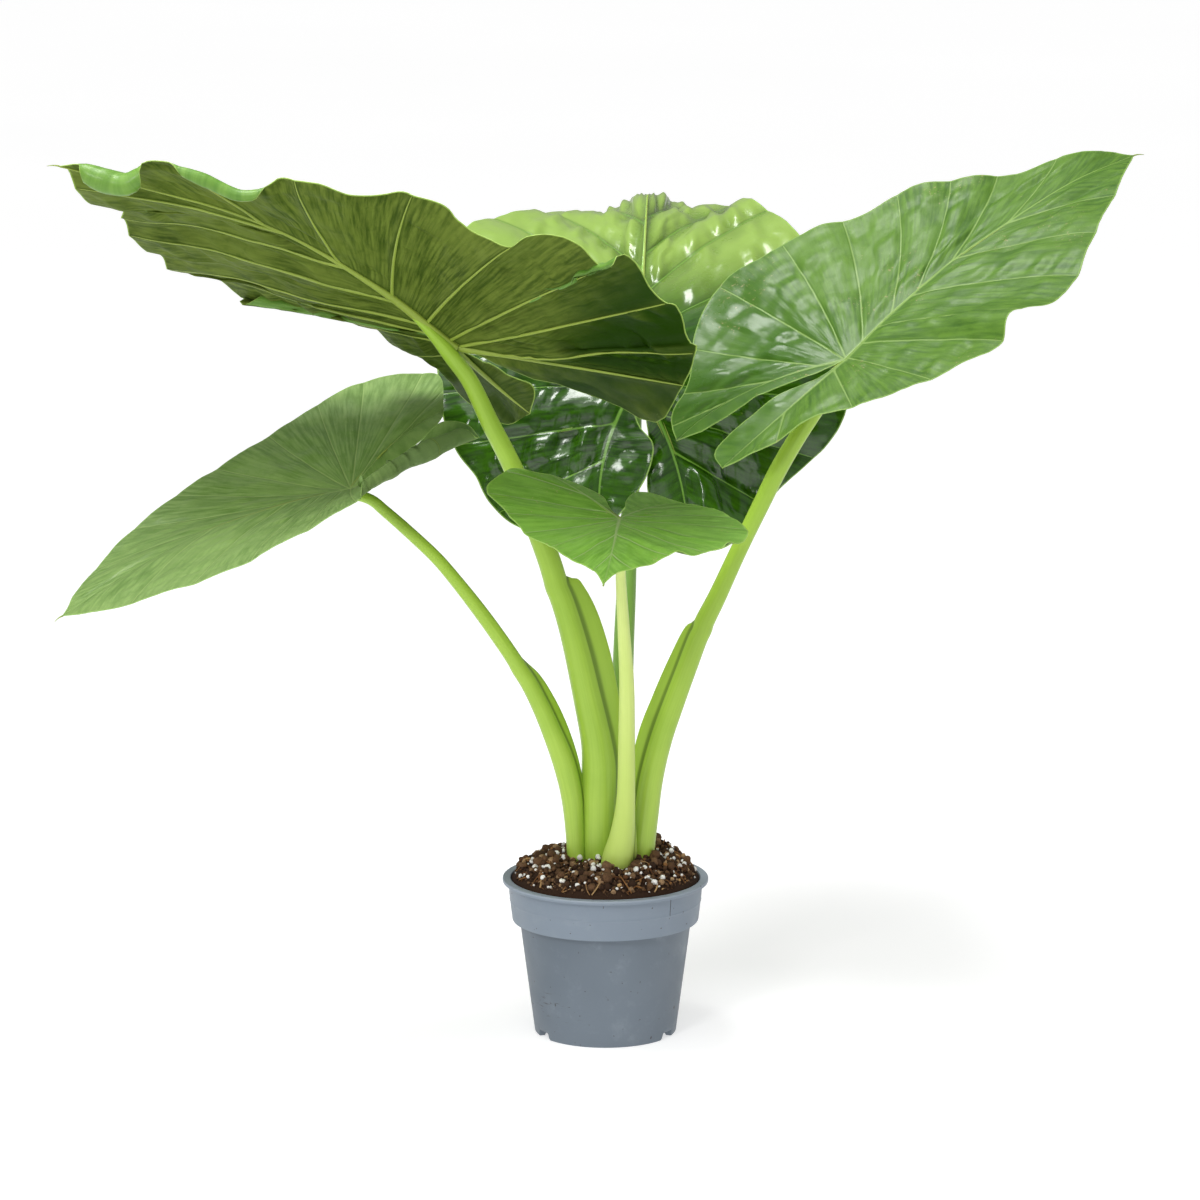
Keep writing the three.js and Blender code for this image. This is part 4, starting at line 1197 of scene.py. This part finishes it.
def make_stage():
    scene = bpy.context.scene
    world = bpy.data.worlds.new("studio")
    world.use_nodes = True
    world.node_tree.nodes["Background"].inputs["Color"].default_value = (1, 1, 1, 1)
    world.node_tree.nodes["Background"].inputs["Strength"].default_value = WORLD_STRENGTH
    scene.world = world
    scene.view_settings.view_transform = "Standard"
    floor_mesh = bpy.data.meshes.new("studio_floor")
    reach = FLOOR_REACH
    floor_mesh.from_pydata(
        [(-reach, -reach, 0), (reach, -reach, 0), (reach, reach, 0), (-reach, reach, 0)], [], [(0, 1, 2, 3)])
    paint = Shader("floor_paint")
    tint = paint.mix(paint.noise(0.6, 2), (0.6, 0.6, 0.6, 1), (0.64, 0.64, 0.64, 1))
    normal = paint.bump(paint.noise(40, 2), 0.02, 0.001)
    floor_mesh.materials.append(paint.finish(
        tint, 0.8, normal, specular_ior_level=0.1, emission_color=(1, 1, 1, 1),
        emission_strength=FLOOR_GLOW))
    floor = bpy.data.objects.new("studio_floor", floor_mesh)
    scene.collection.objects.link(floor)
    for name, place, target, size, power in LIGHTS:
        area_light(name, place, target, size, power)
    sun = bpy.data.lights.new("sky_panel", "SUN")
    sun.energy = SUN_STRENGTH
    sun.angle = math.radians(SUN_WIDTH)
    panel = bpy.data.objects.new("sky_panel", sun)
    panel.rotation_euler = [math.radians(angle) for angle in SUN_TURN]
    scene.collection.objects.link(panel)


def make_camera():
    data = bpy.data.cameras.new("camera")
    data.sensor_width = CAMERA_SENSOR
    data.lens = CAMERA_LENS
    data.clip_end = 300
    camera = bpy.data.objects.new("camera", data)
    camera.location = [value * MM for value in CAMERA_PLACE]
    camera.rotation_euler = (math.radians(90 - CAMERA_PITCH), 0, 0)
    bpy.context.scene.collection.objects.link(camera)
    bpy.context.scene.camera = camera


# Everything together
def leaf_materials(name, upper, under, rim, vein_upper, vein_under, rough, tone_rough, coat, specks=0):
    """A blade's four materials, in the order of UPPER, UNDER, RIM and VEIN."""
    rim, vein_upper, vein_under = linear(*rim), linear(*vein_upper), linear(*vein_under)
    # shade is how strongly painted shade darkens the blade beside its veins.
    gloss = {"rough": rough, "tone_rough": tone_rough, "bump": 0.4, "grain": 0.15, "groove": 0.35,
             "share": 0.16, "through": SUNLIT_GREEN, "coat": coat, "coat_rough": 0.14,
             "shine": 0.5, "specks": specks, "shade": 0.3}
    matte = {"rough": 0.58, "tone_rough": 0.5, "bump": 0.45, "grain": 0.25, "groove": 0.3,
             "share": 0.16, "through": SUNLIT_GREEN, "coat": 0.0, "coat_rough": 0.4,
             "shine": 0.1, "specks": 0, "shade": 0.75}
    faces = []
    for face, colours, vein, finish, strength in (
            ("upper", upper, vein_upper, gloss, 0.8), ("under", under, vein_under, matte, 0.0)):
        dark, light, bright = (linear(*colour) for colour in colours)
        faces.append(leaf_skin("leaf_%s_%s" % (face, name), dark, light, bright, vein, rim, finish, strength))
    edge = plain_flesh("leaf_rim_" + name, rim, rim, rim, 0.5)
    vein = plain_flesh("leaf_vein_" + name, vein_under, vein_under, VEIN_STAIN, 0.55)
    return faces + [edge, vein]


make_camera()

# Each leaf's upper and under face (dark, light and bright), rim, veins above and below, roughness,
# roughness where tone is 1, coat, and share of specks. Bright is painted where tone is 1: on the back
# leaf it is painted light, the glow through its crest.
LEAF_COLOURS = {
    "left_upper": (
        ((96, 144, 48), (124, 168, 66), (80, 124, 36)),
        ((60, 80, 20), (116, 134, 54), (34, 62, 3)),
        (168, 200, 96), (140, 172, 76), (146, 166, 62), 0.44, 0.44, 0.1),
    "right": (
        ((60, 100, 22), (98, 138, 42), (64, 104, 32)),
        ((76, 104, 34), (98, 126, 46), (60, 92, 20)),
        (140, 176, 84), (134, 166, 84), (140, 162, 66), 0.5, 0.26, 0.06, 0.7),
    "left_lower": (
        ((98, 134, 56), (142, 174, 96), (62, 92, 44)),
        ((104, 130, 72), (124, 150, 86), (112, 138, 84)),
        (150, 186, 100), (156, 184, 106), (142, 164, 70), 0.48, 0.42, 0.1),
    "back": (
        ((22, 54, 3), (54, 100, 8), (146, 178, 80)),
        ((76, 104, 34), (98, 126, 46), (104, 146, 40)),
        (165, 205, 100), (118, 166, 62), (140, 162, 66), 0.17, 0.34, 0.6),
    "front": (
        ((92, 142, 36), (126, 176, 64), (84, 132, 36)),
        ((88, 114, 50), (110, 136, 62), (60, 94, 20)),
        (150, 190, 84), (150, 174, 110), (142, 164, 70), 0.46, 0.46, 0.12, 0.7),
}
for leaf in LEAVES:
    name = leaf["name"]
    blade(leaf, LEAF_LOOKS[name], leaf_materials(name, *LEAF_COLOURS[name]))

stalk_green = plain_flesh(
    "stalk_green", linear(176, 208, 80), linear(158, 194, 62), linear(134, 176, 46), 0.42)
# The back stalk's flesh is a darker, greyer copy of the stalk green: painted shade.
stalk_dim = plain_flesh(
    "stalk_dim", linear(146, 184, 84), linear(124, 168, 72), linear(108, 150, 62), 0.45)
stalk_pale = plain_flesh(
    "stalk_pale", linear(190, 214, 100), linear(218, 234, 140), linear(186, 212, 96), 0.42)
stalk_skins = {"front": stalk_pale, "back": stalk_dim}
for leaf in LEAVES:
    stalk(leaf["name"], leaf, [stalk_skins.get(leaf["name"], stalk_green)])
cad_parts["stem_base"].data.materials.clear()
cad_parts["stem_base"].data.materials.append(stalk_pale)

pot(pot_plastic())

earth = crumb_skin("earth", linear(52, 34, 22), linear(104, 76, 52), linear(172, 140, 104))
soil_bed(earth)
crumbs = pebble_shapes(24, 1, 0.35, 51)
scatter("soil_crumbs", "soil", earth, crumbs, 3200, (1.4, 0.5, 3.8), 0.0, 52)
clods = pebble_shapes(12, 2, 0.3, 53)
scatter("soil_clods", "soil", earth, clods, 460, (3.1, 0.4, 6.2), 0.0, 54)
perlite = crumb_skin("perlite", linear(226, 222, 214), linear(246, 245, 240), linear(254, 254, 250), 0.85)
scatter("perlite_grains", "soil", perlite, pebble_shapes(10, 2, 0.25, 55), 330, (1.7, 0.4, 3.2), -0.45, 56)
husk = crumb_skin("husk", linear(96, 62, 36), linear(150, 106, 62), linear(196, 160, 110), 0.9)
scatter("bark_chips", "soil", husk, pebble_shapes(8, 1, 0.4, 57), 190, (2.0, 0.4, 3.8), -0.3, 58)
fibres(husk)

make_stage()
bpy.context.view_layer.update()
